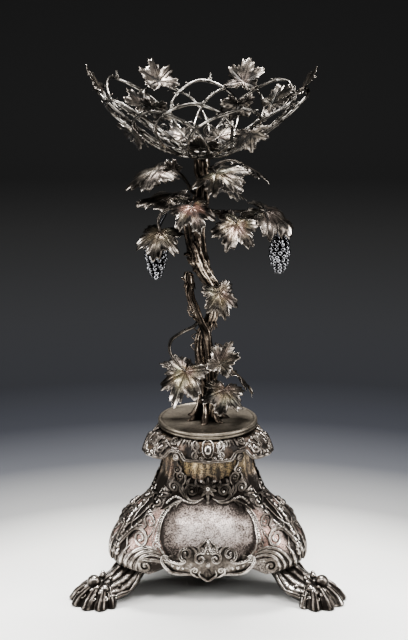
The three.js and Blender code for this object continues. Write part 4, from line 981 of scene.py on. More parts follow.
def toe_fan():
    """The shell of toes: at every angle a loop goes from the fan's middle out over a toe and
    back along the floor. Crests of |cos| make the toes, finer ones the ribs on them, and the
    rim dips between the toes."""
    degrees = np.linspace(-91, 91, 170)[:, None]
    crown = np.abs(np.cos(np.radians(180 * degrees / toe_spacing)))
    share = np.linspace(0.04, 1, 26)[None]
    rim = toe_reach(degrees) * (1 - 0.14 * (1 - crown))
    row = smooth_table(toe_profile, np.interp(share, toe_profile[:, 0], np.arange(5)))
    rib = np.abs(np.cos(np.radians(540 * degrees / toe_spacing + 60 * share)))
    vein = 1.9 * (rib - 0.5) * np.clip(3 * share - 0.6, 0, 1) * np.clip(6 - 6 * share, 0, 1)
    z = row[..., 1] + row[..., 2] * crown ** 0.7 * 1.25 + vein
    reach = np.concatenate([rim * share, rim - 0.8, rim * 0.04], 1)
    height = np.concatenate([z, 0 * rim, 0 * rim], 1)
    grid = round_points(np.radians(degrees), reach, height, fan_middle)
    tarnish_and_shade = np.clip(1.15 - 0.4 * crown - 0.75 * rib ** 2 + 0.3 * wave(degrees / 7, share * 5, 33), 0, 1)
    return skin(grid, np.concatenate([tarnish_and_shade, np.full((170, 2), 0.9)], 1))


def block(low, high, cut=1.0):
    """A box with its upright corners cut off, as loops up its height."""
    (x0, y0, z0), (x1, y1, z1) = low, high
    loop = np.array([(x0 + cut, y0), (x1 - cut, y0), (x1, y0 + cut), (x1, y1 - cut),
                     (x1 - cut, y1), (x0 + cut, y1), (x0, y1 - cut), (x0, y0 + cut)])
    middle = loop.mean(0)
    levels = [(0.96, z0), (1, z0 + 0.5), (1, z1 - 0.5), (0.96, z1)]
    rows = [np.column_stack([middle + (loop - middle) * k, np.full(8, z)]) for k, z in levels]
    return skin(np.stack(rows), 0.8)


def mirrored(spots):
    """Each spot off the leg's middle line is followed by its mirror image."""
    return [(x, y * sign, *rest) for x, y, *rest in spots for sign in ((1, -1) if y else (1,))]


def foot_edges(side):
    """The rolled edge of the leg on one side, and the curl that ends it."""
    count = 50
    point, _ = foot_surface(np.linspace(93, 127, count), np.full(count, 0.97 * side), 0.2)
    lean = np.tile(unit(np.array([0.35, 0.55 * side, 1.0])), (count, 1))
    u = np.linspace(0, 1, 40)
    slant = np.array([0, 0.8 * side, 0.3])
    curl, _ = spiral([126, 21.5 * side, 10.6], np.array([1, 0, 0]), slant, 5.2, 110, 1.5, len(u))
    curl = curl + u[:, None] * [0, 0, 1.2]
    up = unit(np.tile([0.4, 0.45 * side, 1.0], (len(u), 1)))
    return [ribbon(point, lean, 1.4, 1.9), ribbon(curl, up, 1.3 * (1 - 0.4 * u), 2.1)]


def toe_curl(degrees):
    """A small flat spiral that lies on the shell at one of the toes."""
    out, aside, up = compass(degrees)
    middle = np.array([fan_middle, 0, 9.6]) + out * toe_reach(degrees) * 0.72
    line, _ = spiral(middle, aside, 0.75 * out - 0.5 * up, 3.4, -60, 1.2, 30, 0.75)
    return ribbon(line, np.tile(unit(0.7 * out + up), (30, 1)), 0.9 * fade(30), 1.7 * fade(30))


def foot_skins():
    """Leg, tongue, toes, the large ball with smaller berries, rolled edges, knobs on and
    between the toes, and curls on the shell."""
    made = [foot_body(), toe_fan(), block((73, -15, 33), (98, 15, 39.7))]
    berries = [(137, 0, 21.6, 7.2), (127, 0, 26, 3.4), (131, 13, 16.5, 5.2), (138, 9.4, 18.6, 2.4),
               (122, 9, 25, 2.3), (117, 19, 19.4, 2.4), (124, 20, 14.6, 2.8)]
    for x, y, z, size in mirrored(berries):
        made += bead(np.array([x, y, z]), unit(np.array([0.25, 0, 1.0])), size, flat=1.0, tarnish_and_shade=0.1)
    made += foot_edges(1) + foot_edges(-1)
    knobs = [(0, 37.9, 3.0, 1.7), (26, 36.4, 3.0, 1.9), (52, 32.4, 3.0, 1.7), (78, 25.2, 3.0, 1.9),
             (16, 21, 15.6, 2.6), (44, 20, 14.6, 3.2), (68, 17.4, 13.4, 2.4), (33, 25.5, 13.0, 1.8),
             (60, 24.6, 11.0, 1.7)]
    for angle, reach, z, size in knobs + [(-k[0], *k[1:]) for k in knobs if k[0]]:
        out, _, up = compass(angle)
        steep = out - [0, 0, 0.5] if z > 4 else out
        spot = np.array([fan_middle, 0, z]) + reach * out
        made += bead(spot, unit(0.4 * out + up), size, 1.3, steep, 0.9, 0.1)
    return made + [toe_curl(degrees) for degrees in (-72, -46, -20, 6, 32, 58, 84)]


foot = foot_skins()
for i, degrees in enumerate(foot_angles, 1):
    make_piece(f"foot_casting_{i}", turn(foot, degrees), silver, "stand", "foot", f"foot_{i}")

# %% [markdown]
# The vine's trunk twists as it climbs. Level rings of the CAD path carry a bark relief:
# long ridges that wander round the trunk, cracks between them, and a torn knot. At the
# bottom the ridges gather into roots.

# %% The trunk
trunk_path = np.array([
    (0, 0, 178.5, 16.5, 7.5), (-0.4, 0, 184, 12.5, 4.5), (-1, 0, 191, 9.8, 2.2), (-1.7, 0, 200, 8.2, 1),
    (-3.5, 0, 217, 7.2, 0.5), (-5.5, 1, 235, 6.6, 0.4), (-7, 3, 253, 6.2, 0.4), (-5.5, 3, 266, 6.4, 0.5),
    (-1, 1.5, 279, 6.6, 0.7), (4, -1, 290, 6, 0.5), (6.5, -2, 302, 5.8, 0.4), (6.5, 0, 313, 6.4, 0.5),
    (3, 0, 324, 7.6, 0.7), (-3, 0, 335, 8, 0.8), (-8, 0, 345, 8.6, 0.9), (-10, 0, 351, 9.4, 1),
    (-11.5, 0, 360, 8.8, 0.9), (-14, 1, 374, 9.2, 1), (-14, 2, 388, 9.2, 1), (-10, 3, 402, 8.6, 0.8),
    (-7, 3, 414, 7.4, 0.7), (-6, 3, 424, 6.8, 0.5), (-5, 2, 432, 6.6, 0.4), (vine_top, 0.5, 443, 7.4, 0.3),
    (vine_top, 0, 450, 7.6, 0.2), (vine_top, 0, 456.2, 8.4, 0)])


def bark(a, z, seed, count=7):
    """Bark from 0 in a crack to 1 on a ridge: the crests of |cos| waves whose phase is
    bent by soft unevenness, broken across by a second, slower wave."""
    bend = 1.1 * wave(a * 1.5, z / 14, seed) + 0.5 * wave(a * 4, z / 5, seed + 1)
    ridge = np.abs(np.cos(count * a / 2 + 0.012 * z + bend)) ** 0.7
    broken = 0.5 + 0.5 * wave(a * 3, z / 4, seed + 2)
    return np.clip(0.75 * ridge + 0.35 * broken - 0.05, 0, 1)


def rings_up(path, z):
    """Centre, radius and lobe height of a level path at the heights z, as columns."""
    rows = smooth_table(path, np.interp(z[:, 0], path[:, 2], np.arange(len(path))))
    return (rows[:, [k]] for k in (0, 1, 3, 4))


def trunk_skin(columns=84, rows=300):
    """Up the rod's bore, out over the root's edge, up the bark, over the top and down
    into the socket: radius = path's radius + lobes + (bark - 0.6) * its depth."""
    bottom, top, hole = 178.5, 456.2, 4.3
    a = circle(columns)[None]
    z = np.linspace(bottom, top, rows)[:, None]
    x, y, radius, lobe = rings_up(trunk_path, z)
    low = progress(z, 206, 194)
    twist = np.radians((z - bottom) * 0.35)
    root = lobe * (np.cos(7 * a) * low + np.cos(4 * a + twist) * (1 - low))
    ridges = bark(a + (z - 178) / 130, z, 41)
    knot = np.exp(-((z - 349) / 3.0) ** 2) * (0.6 + 0.4 * wave(a * 5, z / 2, 44))
    deep = 3.0 * np.clip((radius - 4) / 3, 0.3, 1.3) * progress(z, 456, 448)
    r = radius + root + (ridges - 0.6) * deep + 1.6 * knot
    r = np.where(z > top - 0.3, radius, r)
    bore = [round_points(a, hole, level) for level in (196.3, bottom)]
    socket = [round_points(a, hole, level, vine_top) for level in (top, 444)]
    grid = np.concatenate(bore + [round_points(a, r, z, x, y)] + socket, 0)
    tarnish_and_shade = 1.2 - 1.25 * ridges + 0.25 * wave(a * 2, z / 25, 45) - 0.3 * knot
    tarnish_and_shade = tarnish_and_shade + 0.2 * (z > 351) * (z < 430) - 0.25 * (z > 318) * (z < 349)
    tarnish_and_shade = np.clip(tarnish_and_shade + 0.15 * low * (root < 1), 0, 1)
    warm = 0.3 * np.clip(wave(a, z / 12, 46), 0, 1)
    inside = np.full((2, columns), 0.9)
    warm = np.concatenate([0 * inside, warm, 0 * inside])
    return skin(grid, np.concatenate([inside, tarnish_and_shade, inside]), warm)


def twiglet(start, end, radius, bend=(0, 0, 0), seed=0, tip=0.5):
    """A short cut side shoot from start to end, thinner at its tip, with a little bark."""
    start, end = np.array(start, float), np.array(end, float)
    line = through([start, (start + end) / 2 + bend, end], 14)
    u = np.linspace(0, 1, 14)[:, None]
    a = circle(9)[None]
    size = radius * (1 + (tip - 1) * u) * (1 + 0.12 * wave(a * 3, u * 5, seed))
    return tube(line, size, 9, np.clip(0.5 + 0.4 * wave(a * 2, u * 3, seed + 1), 0, 1))


def splinters(x, y, z, reach, count, seed):
    """Torn bark: short splinters hang round the wood, each with its own length and slant."""
    rng = np.random.RandomState(seed)
    made = []
    for angle in circle(count) + rng.uniform(-0.15, 0.15, count):
        out = np.array([np.cos(angle), np.sin(angle), 0])
        start = np.array([x, y, z]) + out * reach
        end = start + out * rng.uniform(1.0, 3.2) - [0, 0, rng.uniform(2, 6)]
        radius = rng.uniform(1.1, 1.7)
        made.append(twiglet(start + [0, 0, 3.5], end, radius, seed=int(rng.randint(99)), tip=0.3))
    return made


stubs = [((-14, 0, 352), (-24, -6, 357), 3.4), ((-8, -6, 346), (-15, -13, 341), 2.4),
         ((-6, -7, 392), (-3, -14, 397), 2.6), ((5, -3, 300), (13, -9, 306), 2.2),
         ((-10, -6, 366), (-13, -13, 372), 2.2), ((-3, -6, 424), (4, -12, 430), 2.4),
         ((-4, 2, 258), (-14, -2, 262), 2.2), ((8, 0, 296), (16, 4, 299), 2.0),
         ((-6, 5, 412), (-13, 11, 417), 2.2)]
trunk_parts = [trunk_skin()]
trunk_parts += [twiglet(start, end, r, (0, 0, 1.5), seed) for seed, (start, end, r) in enumerate(stubs, 60)]
trunk_parts += splinters(-10, 0, 350, 8.6, 13, 81) + splinters(0, -1, 281.5, 7.2, 11, 82)
trunk_parts += splinters(-13.5, 1, 381, 8.4, 8, 83)
make_piece("trunk_bark", trunk_parts, bark_silver, "stand", "bark", "trunk")

stem_path = np.array([
    (5, -6, 182, 6, 0), (6, -7, 200, 5.4, 0), (5, -7.5, 222, 4.8, 0), (3, -8, 246, 4.4, 0),
    (0.5, -9, 262, 4.4, 0), (-2.5, -9.6, 277, 4.8, 0), (-8, -8.5, 287, 4.4, 0), (-14, -7, 301, 4.4, 0),
    (-18.5, -4, 314, 4.5, 0), (-19, -1.5, 326, 4.6, 0), (-20, 0, 333, 4.9, 0), (-20.5, 0, 337, 3.6, 0)])


def stem_skin(columns=40, rows=170):
    """Level rings with bark, like the trunk's but finer, and a sawn top."""
    a = circle(columns)[None]
    z = np.linspace(182, 336.6, rows)[:, None]
    x, y, radius, _ = rings_up(stem_path, z)
    ridges = bark(a - z / 60, z, 71, 5)
    swell = 1 + 0.12 * np.exp(-((z - 300) / 5) ** 2) + 0.1 * np.exp(-((z - 240) / 4) ** 2)
    tarnish_and_shade = np.clip(1.0 - 1.1 * ridges + 0.2 * wave(a, z / 15, 72), 0, 1)
    return skin(round_points(a, radius * swell + (ridges - 0.6) * 1.4, z, x, y), tarnish_and_shade)


stem_parts = [stem_skin(), twiglet((-19, 0, 324), (-27, -3, 331), 2.2, (0, 0, 1), 75),
              twiglet((-10, -8, 291), (-18, -15, 297), 1.8, (0, 0, 1), 76)]
stem_parts += splinters(-18.8, -2, 323, 4.3, 7, 84) + splinters(2.4, -8, 247, 4.2, 7, 85)
make_piece("side_stem_bark", stem_parts, bark_silver, "stand", "bark", "side_stem")

# %% [markdown]
# A vine leaf has five lobes with toothed edges. It was cast from a thin plate, veined and
# bent by hand. Here the blade is a skin in polar form round the stalk's end: out over the
# upper face to the rim and back under it.

# %% Leaves
leaf_outline = np.array([(0, 1), (15, 0.84), (28, 0.68), (40, 0.84), (53, 0.94), (66, 0.78), (80, 0.62),
                         (98, 0.74), (114, 0.74), (138, 0.54), (180, 0.16)])
stalk_radius = 1.7


def leaf_axes(base, tip, face):
    """Unit vectors towards the tip, across the blade and out of its upper face."""
    forward = unit(tip - base)
    up = unit(face - (face @ forward) * forward)
    return forward, np.cross(up, forward), up


def veins(u, s):
    """How near a point lies to a vein, 0 to 1: five main veins fan out from the stalk, and
    side veins leave the nearest one at a slant, evenly spaced."""
    angle = np.radians(np.array([0, 53, -53, 108, -108]))
    along = u[..., None] * np.cos(angle) + s[..., None] * np.sin(angle)
    off = np.abs(-u[..., None] * np.sin(angle) + s[..., None] * np.cos(angle))
    score = np.where(along > 0, off, 9)
    nearest = np.argmin(score, -1)
    pick = lambda v: np.take_along_axis(v, nearest[..., None], -1)[..., 0]
    p, q = pick(along), pick(off)
    main = np.exp(-(q / (0.028 * (1.3 - np.clip(p, 0, 1)))) ** 2)
    side = 0.7 * np.exp(-(((p - 0.8 * q) / 0.15 % 1 - 0.5) / 0.13) ** 2) * np.clip((q - 0.02) / 0.05, 0, 1)
    return np.maximum(main, side)


def blade(base, tip, face, width, droop, seed, columns=168, thickness=1.3, film=0.3):
    """The blade: distance from the stalk = share * outline * teeth; height = droop * (u - u*u -
    s*s) + ruffles and a curl that grow to the rim, less a dip along each vein."""
    base, tip, face = (np.array(v, float) for v in (base, tip, face))
    forward, across, up = leaf_axes(base, tip, face)
    length = np.linalg.norm(tip - base)
    theta = np.linspace(-180, 180, columns, endpoint=False)
    outline = np.interp(np.abs(theta), leaf_outline[:, 0], leaf_outline[:, 1]) ** 1.2
    tooth = (np.arange(columns) * 24 / columns + 0.25 * wave(theta / 25, 0, seed + 3)) % 1
    outline = outline * (1 + 0.17 * (np.abs(tooth - 0.45) * 2 - 0.55))
    outline = np.minimum(outline * (1 + 0.04 * wave(theta / 20, 0, seed)), 0.97)
    share = np.array([0.06, 0.16, 0.28, 0.4, 0.52, 0.64, 0.75, 0.85, 0.93, 1.0])
    share = np.concatenate([share, share[::-1]])[:, None]
    front = (np.arange(len(share)) < len(share) // 2)[:, None]
    a = np.radians(theta)[None]
    u, s = share * outline * np.cos(a), share * outline * np.sin(a) * width
    ruffle = 0.05 * np.sin(3 * a + np.radians(40)) * (share * outline) ** 2
    fine = 0.045 * share ** 3 * np.sin(7 * a + seed) + 0.03 * share ** 2 * wave(u * 6, s * 6, seed + 5)
    fine = fine + 0.09 * share ** 6 * wave(a * 3.5, 0, seed + 6)
    vein = veins(u, s / width)
    half = thickness * np.sqrt(np.clip(1.04 - share ** 3, 0, 1)) * 0.5 * np.where(front, 1, -1)
    dent = 0.55 * vein * np.clip(1.1 - share, 0, 0.6) / 0.6
    h = (droop * (u - u * u - s * s) + ruffle + fine) * length + half - dent
    grid = base + (u * length)[..., None] * forward + (s * length)[..., None] * across + h[..., None] * up
    puff = np.clip(0.5 * wave(u * 9, s * 9, seed + 8), -0.3, 0.3)
    tarnish_and_shade = 0.46 + 0.45 * vein + puff - 0.4 * np.clip(share * 5 - 3.9, 0, 1) + 0.1 * (~front)
    tarnish_and_shade = np.clip(tarnish_and_shade, 0, 1) * (1 - 0.75 * film * np.clip(2.6 - 3.2 * share, 0, 1) * front)
    cloud = 0.6 + 0.4 * np.clip(wave(u * 3, s * 3, seed + 2) + 0.4, 0, 1)
    warm = film * np.clip(1.9 - 2.2 * share, 0, 1) * front * cloud
    return skin(grid, tarnish_and_shade, np.clip(warm, 0, 0.9))


def stalk_tube(path, radius=stalk_radius, steps=26):
    """A stalk that thins from 1.15 to 0.85 of its radius, with a node's swelling."""
    line = through(path, steps)
    t = np.linspace(0, 1, steps)[:, None]
    a = circle(8)[None]
    size = radius * (1.15 - 0.3 * t + 0.18 * np.exp(-((t - 0.5) / 0.06) ** 2)) * (1 + 0.07 * np.cos(3 * a))
    return tube(line, size, 8, np.clip(0.45 + 0.3 * np.cos(3 * a) + 0.2 * wave(t * 6, a, 7), 0, 1))


# For each leaf: the stalk's end, the tip, the way the blade faces, width, droop, and the stalk.
vine_leaves = {
    "lower_leaf_1": ((-23, -27, 238), (-36, -43, 201), (-0.1, -0.8, 0.6), 0.72, 0.55, [
        (-9, -8.5, 289), (-14, -14, 283), (-27, -17, 277), (-38, -20, 269), (-39, -23, 257),
        (-31, -26, 246)]),
    "lower_leaf_2": ((-27, 10, 231), (-52, 16, 233), (-0.2, -0.6, 0.8), 0.8, 0.4, [
        (-3, 1, 216), (-14, 6, 226)]),
    "lower_leaf_3": ((17, -27, 218), (11, -42, 193), (0.1, -0.8, 0.6), 1, 0.5, [
        (5.5, -7.2, 208), (9, -16, 216)]),
    "lower_leaf_4": ((13, -17, 243), (25, -15, 269), (0.2, -1, 0.1), 0.75, -0.25, [
        (5, -7.5, 222), (10, -15, 233)]),
    "lower_leaf_5": ((27, 4, 228), (47, 1, 199), (0.75, 0.1, 0.6), 0.6, 0.35, [
        (-5, 1, 229), (12, 5, 231)]),
    "middle_leaf": ((11, -15, 319), (18, -22, 290), (0.1, -0.9, 0.35), 0.78, 0.35, [
        (6.5, 0, 313), (8, -9, 319)]),
    "upper_leaf_1": ((8, -20, 444), (36, -46, 431), (-0.1, -0.45, 0.9), 0.9, 0.35, [
        (-2, 1, 440), (3, -10, 446)]),
    "upper_leaf_2": ((37, 10, 446), (62, 4, 425), (0.5, 0.25, 0.86), 0.7, 0.4, [
        (-1.5, 0.5, 442), (12, 9, 449), (24, 12, 451)]),
    "upper_leaf_3": ((-51, 0, 443), (-84, -3, 421), (-0.45, -0.35, 0.8), 0.75, 0.4, [
        (-7, 3, 416), (-16, 2, 420), (-21, 1, 430), (-29, 0, 440), (-40, 0, 444)]),
    "upper_leaf_4": ((-33, 4, 416), (-73, -2, 403), (-0.2, -0.2, 0.93), 0.72, 0.4, [
        (-9.5, 3, 405), (-20, 3, 413)]),
    "upper_leaf_5": ((-48, -26, 385), (-55, -45, 357), (-0.1, -0.7, 0.7), 0.85, 0.7, [
        (-12.5, 2, 395), (-24, -9, 405), (-42, -16, 406), (-50, -21, 397)]),
    "upper_leaf_6": ((-17, -31, 411), (-7, -48, 387), (0, -0.75, 0.65), 0.95, 0.5, [
        (-8, 3, 411), (-12, -17, 417)]),
    "upper_leaf_7": ((29, -30, 395), (18, -45, 367), (0.05, -0.85, 0.5), 0.9, 0.4, [
        (-10, 3, 401), (10, -15, 400), (24, -25, 399)]),
    "upper_leaf_8": ((57, -2, 402), (85, -5, 373), (0.5, -0.45, 0.72), 0.9, 0.6, [
        (-9, 3, 402), (14, 1, 400), (36, 0, 400.5)]),
    "upper_leaf_9": ((16, 28, 421), (31, 50, 399), (0.3, 0.3, 0.9), 0.85, 0.45, [
        (-6, 3, 423), (8, 13, 424)]),
}
tinted = {"upper_leaf_6": 1.0, "upper_leaf_7": 1.0, "upper_leaf_5": 0.8, "upper_leaf_1": 0.7,
          "middle_leaf": 0.9, "lower_leaf_1": 0.8, "lower_leaf_3": 0.8, "lower_leaf_4": 0.5,
          "lower_leaf_5": 0.5}
for seed, (name, (base, tip, face, width, droop, path)) in enumerate(vine_leaves.items()):
    film = tinted.get(name, 0.3)
    parts = [blade(base, tip, face, width, droop, seed, film=film), stalk_tube(path + [base])]
    if name == "upper_leaf_3":
        parts.append(blade((-34, 0, 442.5), (-44, -2, 454), (-0.3, -0.8, 0.5), 0.8, 0.2, 90, 72, 1.0))
    make_piece("vine_" + name, parts, leaf_silver, "stand", "leaf", name)

# %% [markdown]
# The grapes hang in two bunches. Each berry is a small ball of a few dozen faces; rings of
# them lie round the bunch's own outline, and a dark core closes the gaps between them.

# %% Grapes
def bunch_skins(x, y, z, reach, drop, path, seed):
    """Rings of berries down the outline reach * sqrt(sin), turned in every other ring."""
    rng = np.random.RandomState(seed)
    made = [stalk_tube(path + [(x, y, z - 3)], 1.3)]
    outline = lambda t: reach * np.sqrt(np.sin(np.pi * (0.06 + 0.9 * t ** 0.7)))
    t = np.linspace(0, 1, 14)[:, None]
    core = round_points(circle(12)[None], 0.62 * outline(t), z - 2 - (drop - 5) * t, x, y)
    made.append(skin(core, 0.95))
    from_pole = np.linspace(0.15, 0.85, 5)[:, None] * np.pi
    ball = round_points(circle(8)[None], np.sin(from_pole), np.cos(from_pole))
    for level in range(9):
        share = (level + 0.3) / 9
        ring = max(outline(share) * 0.98 - 2.6, 0.6)
        count = max(3, int(2 * np.pi * ring / 5.2))
        for k in range(count):
            angle = 2 * np.pi * (k + 0.5 * (level % 2)) / count + rng.uniform(-0.15, 0.15)
            out = ring + rng.uniform(-0.5, 0.6)
            height = z - 1 - (drop - 3) * share + rng.uniform(-0.8, 0.8)
            middle = round_points(angle, out, height, x, y)
            size = rng.uniform(2.6, 3.2)
            away = ball @ np.array([np.cos(angle), np.sin(angle), 0.25])
            made.append(skin(middle + size * ball, np.clip(0.55 - 0.75 * away, 0, 1)))
    return made


left_stalk = [(-40, -15.5, 406.3), (-43, -9, 399), (-50, -10, 385)]
right_stalk = [(40.5, -0.8, 400.6), (49, 9, 395), (66, 10, 385)]
left_bunch = bunch_skins(-53, -12, 373, 12, 42, left_stalk, 3)
right_bunch = bunch_skins(74, 5, 372, 11.5, 40, right_stalk, 4)
make_piece("grapes_left", left_bunch, berry_silver, "stand", "grape", "grape_bunch_1")
make_piece("grapes_right", right_bunch, berry_silver, "stand", "grape", "grape_bunch_2")

# %% [markdown]
# The basket lifts off. Twelve bent twigs are soldered to a hub and to each other where
# they cross; they lie on a bowl whose height grows with the square of the radius, right
# legs outside it and left legs inside. Knots and buds are swellings of the radius.

# %% The bowl of twigs
floor_height, rim_radius, rim_rise = 459, 104, 62.7
bowl_curve = rim_rise / rim_radius ** 2
twig_radius, layer = 1.7, 1.85
arches = [(1, 106), (37, 107), (64, 101), (88, 102.5), (117, 101), (148, 110),
          (180, 107), (211, 104), (241, 99), (264, 107.5), (290, 102.5), (328, 103)]
thorns = {1: 15, 3: 3, 5: 6, 7: 3, 9: 9, 11: -3}
leg_path = [(1, 0), (0.99, 5), (0.955, 11), (0.89, 18.5), (0.8, 25), (0.67, 30.5), (0.5, 36), (0.31, 42)]


def on_bowl(degrees, r, inwards=0.0):
    """A point of the bowl z = floor + curve * r * r, moved along its inward normal."""
    slope = 2 * bowl_curve * r
    steep = np.hypot(1, slope)
    out = r - inwards * slope / steep
    return round_points(np.radians(degrees), out, floor_height + bowl_curve * r * r + inwards / steep)


def leg_spot(arch, leg, aside):
    """Angle, radius and middle of a twig some degrees aside of its peak, on its right (1)
    or left (-1) leg."""
    angle, peak = arches[arch]
    share = np.interp(aside, [a for _, a in leg_path], [r for r, _ in leg_path])
    inwards = -leg * layer * eased(np.clip(aside / 6, 0, 1))
    return angle - leg * aside, peak * share, on_bowl(angle - leg * aside, peak * share, inwards)


def leg_point(arch, leg, step):
    """The same at a step of the leg."""
    return leg_spot(arch, leg, leg_path[step][1])


def arch_line(arch, steps=150):
    """The whole twig: up its right leg, over the peak and down the left."""
    def leg(sign):
        """One leg from its peak down to the hub."""
        foot_at = 30 * arch - sign * 48
        ends = [on_bowl(foot_at + 2 * sign, 22, -sign * layer), on_bowl(foot_at, 14.5, -sign * layer)]
        return [leg_point(arch, sign, step)[2] for step in range(8)] + ends
    return through(leg(1)[::-1] + leg(-1)[1:], steps)


def twig_tube(line, seed, sides=10):
    """A twig: the radius swells at nodes about 20 mm apart, with fine ridges along it. It
    gives the tube and the places of the nodes."""
    rng = np.random.RandomState(seed)
    s = lengths_along(line)[:, None]
    nodes = np.cumsum(rng.uniform(15, 26, 14))
    swell = np.exp(-((s - nodes) / 1.7) ** 2).sum(1)[:, None]
    groove = wave(circle(sides)[None] * 2.5, s / 6, seed)
    size = twig_radius * (0.97 + 0.32 * swell + 0.1 * groove)
    tarnish_and_shade = np.clip(0.3 - 0.45 * groove + 0.35 * swell, 0, 1)
    return tube(line, size, sides, tarnish_and_shade), nodes[nodes < s[-1] - 8]


def bud(line, at, seed, long):
    """A bud: a short thorn that leaves the twig at a node, to a side that luck picks."""
    rng = np.random.RandomState(seed)
    i = int(np.argmin(np.abs(lengths_along(line) - at)))
    along = unit(line[min(i + 1, len(line) - 1)] - line[max(i - 1, 0)])
    away = unit(np.cross(along, rng.normal(size=3)))
    start = line[i]
    path = through([start, start + away * long * 0.6 + along * 0.8, start + away * long + along * 2.2], 7)
    return tube(path, np.linspace(1.25, 0.4, 7), 7, 0.25)


def rim_thorn(arch, aside):
    """A cut shoot that stands up at the rim, some degrees aside of the twig's peak."""
    degrees, _, start = leg_spot(arch, np.sign(aside), abs(aside))
    out, _, up = compass(degrees)
    tip = start + (3 * out + 9 * up)
    line = through([start, (start + tip) / 2 + 0.5 * out, tip], 16)
    u = np.linspace(0, 1, 16)
    return tube(line, 1.75 - 0.9 * u + 0.8 * np.exp(-((u - 0.45) / 0.12) ** 2), 9, 0.2)


for i, (angle, peak) in enumerate(arches):
    line = arch_line(i)
    main, nodes = twig_tube(line, 118 + i)
    parts = [main] + [bud(line, at, 200 + 20 * i + k, 3.2 + (k % 3)) for k, at in enumerate(nodes)]
    if i in thorns:
        parts.append(rim_thorn(i, thorns[i]))
    make_piece(f"twig_{i + 1}", parts, twig_silver, "basket", "twig", f"basket_twig_{i + 1}")

hub_line = [(0.6, 444.5), (3.4, 444.5), (4, 445.1), (4, 456.4), (12, 456.5), (15.2, 456.8), (16, 458),
            (15.2, 459.6), (15.9, 461), (15.9, 463.4), (14.9, 464.8), (12, 465), (6, 465), (0.6, 465)]
make_piece("hub_turning", [lathe(hub_line, 72, 0.45)], twig_silver, "basket", "twig", "basket_hub")

# %% [markdown]
# The basket's leaves are soldered on short stalks, inside or outside the bowl, and three
# more leaves on a ring cover the hub. Each one's direction is turned in the bowl's own
# surface, by the formula that turns a vector about an axis.

# %% Leaves of the basket
# For each leaf: its place (twig, leg, step), 1 inside or -1 outside, degrees turned, length,
# width, and how far the stalk's end and the tip stand off the twigs.
basket_leaves = {
    "rim_leaf_1": ((0, 1, 0), 1, 0, 25, 0.95, (4.5, 8)),
    "rim_leaf_2": ((2, 1, 0), 1, 0, 31, 0.9, (4.5, 4.5)),
    "rim_leaf_3": ((4, 1, 0), 1, 0, 31, 0.9, (4.5, 4.5)),
    "rim_leaf_4": ((6, 1, 0), 1, 0, 25, 0.95, (4.5, 8)),
    "rim_leaf_5": ((8, 1, 0), 1, 180, 24, 0.95, (6, 6)),
    "rim_leaf_6": ((10, 1, 0), 1, 180, 26, 0.95, (6, 6)),
    "basket_leaf_1": ((4, -1, 4), 1, 12, 27, 1, (5, 6)),
    "basket_leaf_2": ((0, -1, 4), 1, -25, 29, 1, (5, 6)),
    "basket_leaf_3": ((8, 1, 4), -1, 165, 24, 1, (5, 11)),
    "basket_leaf_4": ((11, 1, 4), -1, 200, 26, 1, (5, 11)),
}
for seed, (name, (on, side, turned, length, width, away)) in enumerate(basket_leaves.items(), 30):
    degrees, radius, middle = leg_point(*on)
    out = unit(on_bowl(degrees, radius, 1) - on_bowl(degrees, radius)) * side
    upwards = unit(on_bowl(degrees, radius + 1) - on_bowl(degrees, radius - 1))
    a = np.radians(turned)
    towards = upwards * np.cos(a) + np.cross(out, upwards) * np.sin(a)
    base = middle + out * away[0]
    tip = middle + out * away[1] + towards * length
    parts = [blade(base, tip, out, width, -0.12, seed), stalk_tube([middle, base])]
    make_piece("basket_" + name, parts, leaf_silver, "basket", "leaf", name)

spray = [lathe([(6, 465.3), (12, 465.3), (12.2, 466.8), (11, 468.2), (7, 468.2), (5.9, 467)], 48, 0.5)]
for seed, degrees in enumerate((128, 52, 268), 50):
    inside = unit(on_bowl(degrees, 36, 1) - on_bowl(degrees, 36))
    base, tip = on_bowl(degrees, 31, 8.5), on_bowl(degrees, 57, 8)
    out, _, up = compass(degrees)
    path = [9 * out + 467.5 * up, 18 * out + 469.5 * up, base]
    spray += [blade(base, tip, inside, 1, 0.1, seed), stalk_tube(path)]
make_piece("hub_leaves", spray, leaf_silver, "basket", "leaf", "hub_spray")

# %% [markdown]
# Tendrils fill the vine out. Each is a spring that tightens as it goes; they grow from
# the wood and the twigs near the places where the real one shows loops of wire.

# %% Tendrils
def tendril(start, towards, radius, turns, rise):
    """A tendril: start + rise along its axis, less a circle whose radius shrinks evenly."""
    start, towards = np.array(start, float), unit(np.array(towards, float))
    side = unit(np.cross(towards, [0.2, 0.9, 0.3]))
    other = np.cross(towards, side)
    u = np.linspace(0, 1, int(26 * turns))[:, None]
    line, _ = spiral(start + side * radius, -side, other, radius, 0, turns, len(u), 0.55)
    return tube(line + rise * u * towards, 0.85 * (1 - 0.5 * u[:, 0]), 7, 0.3)


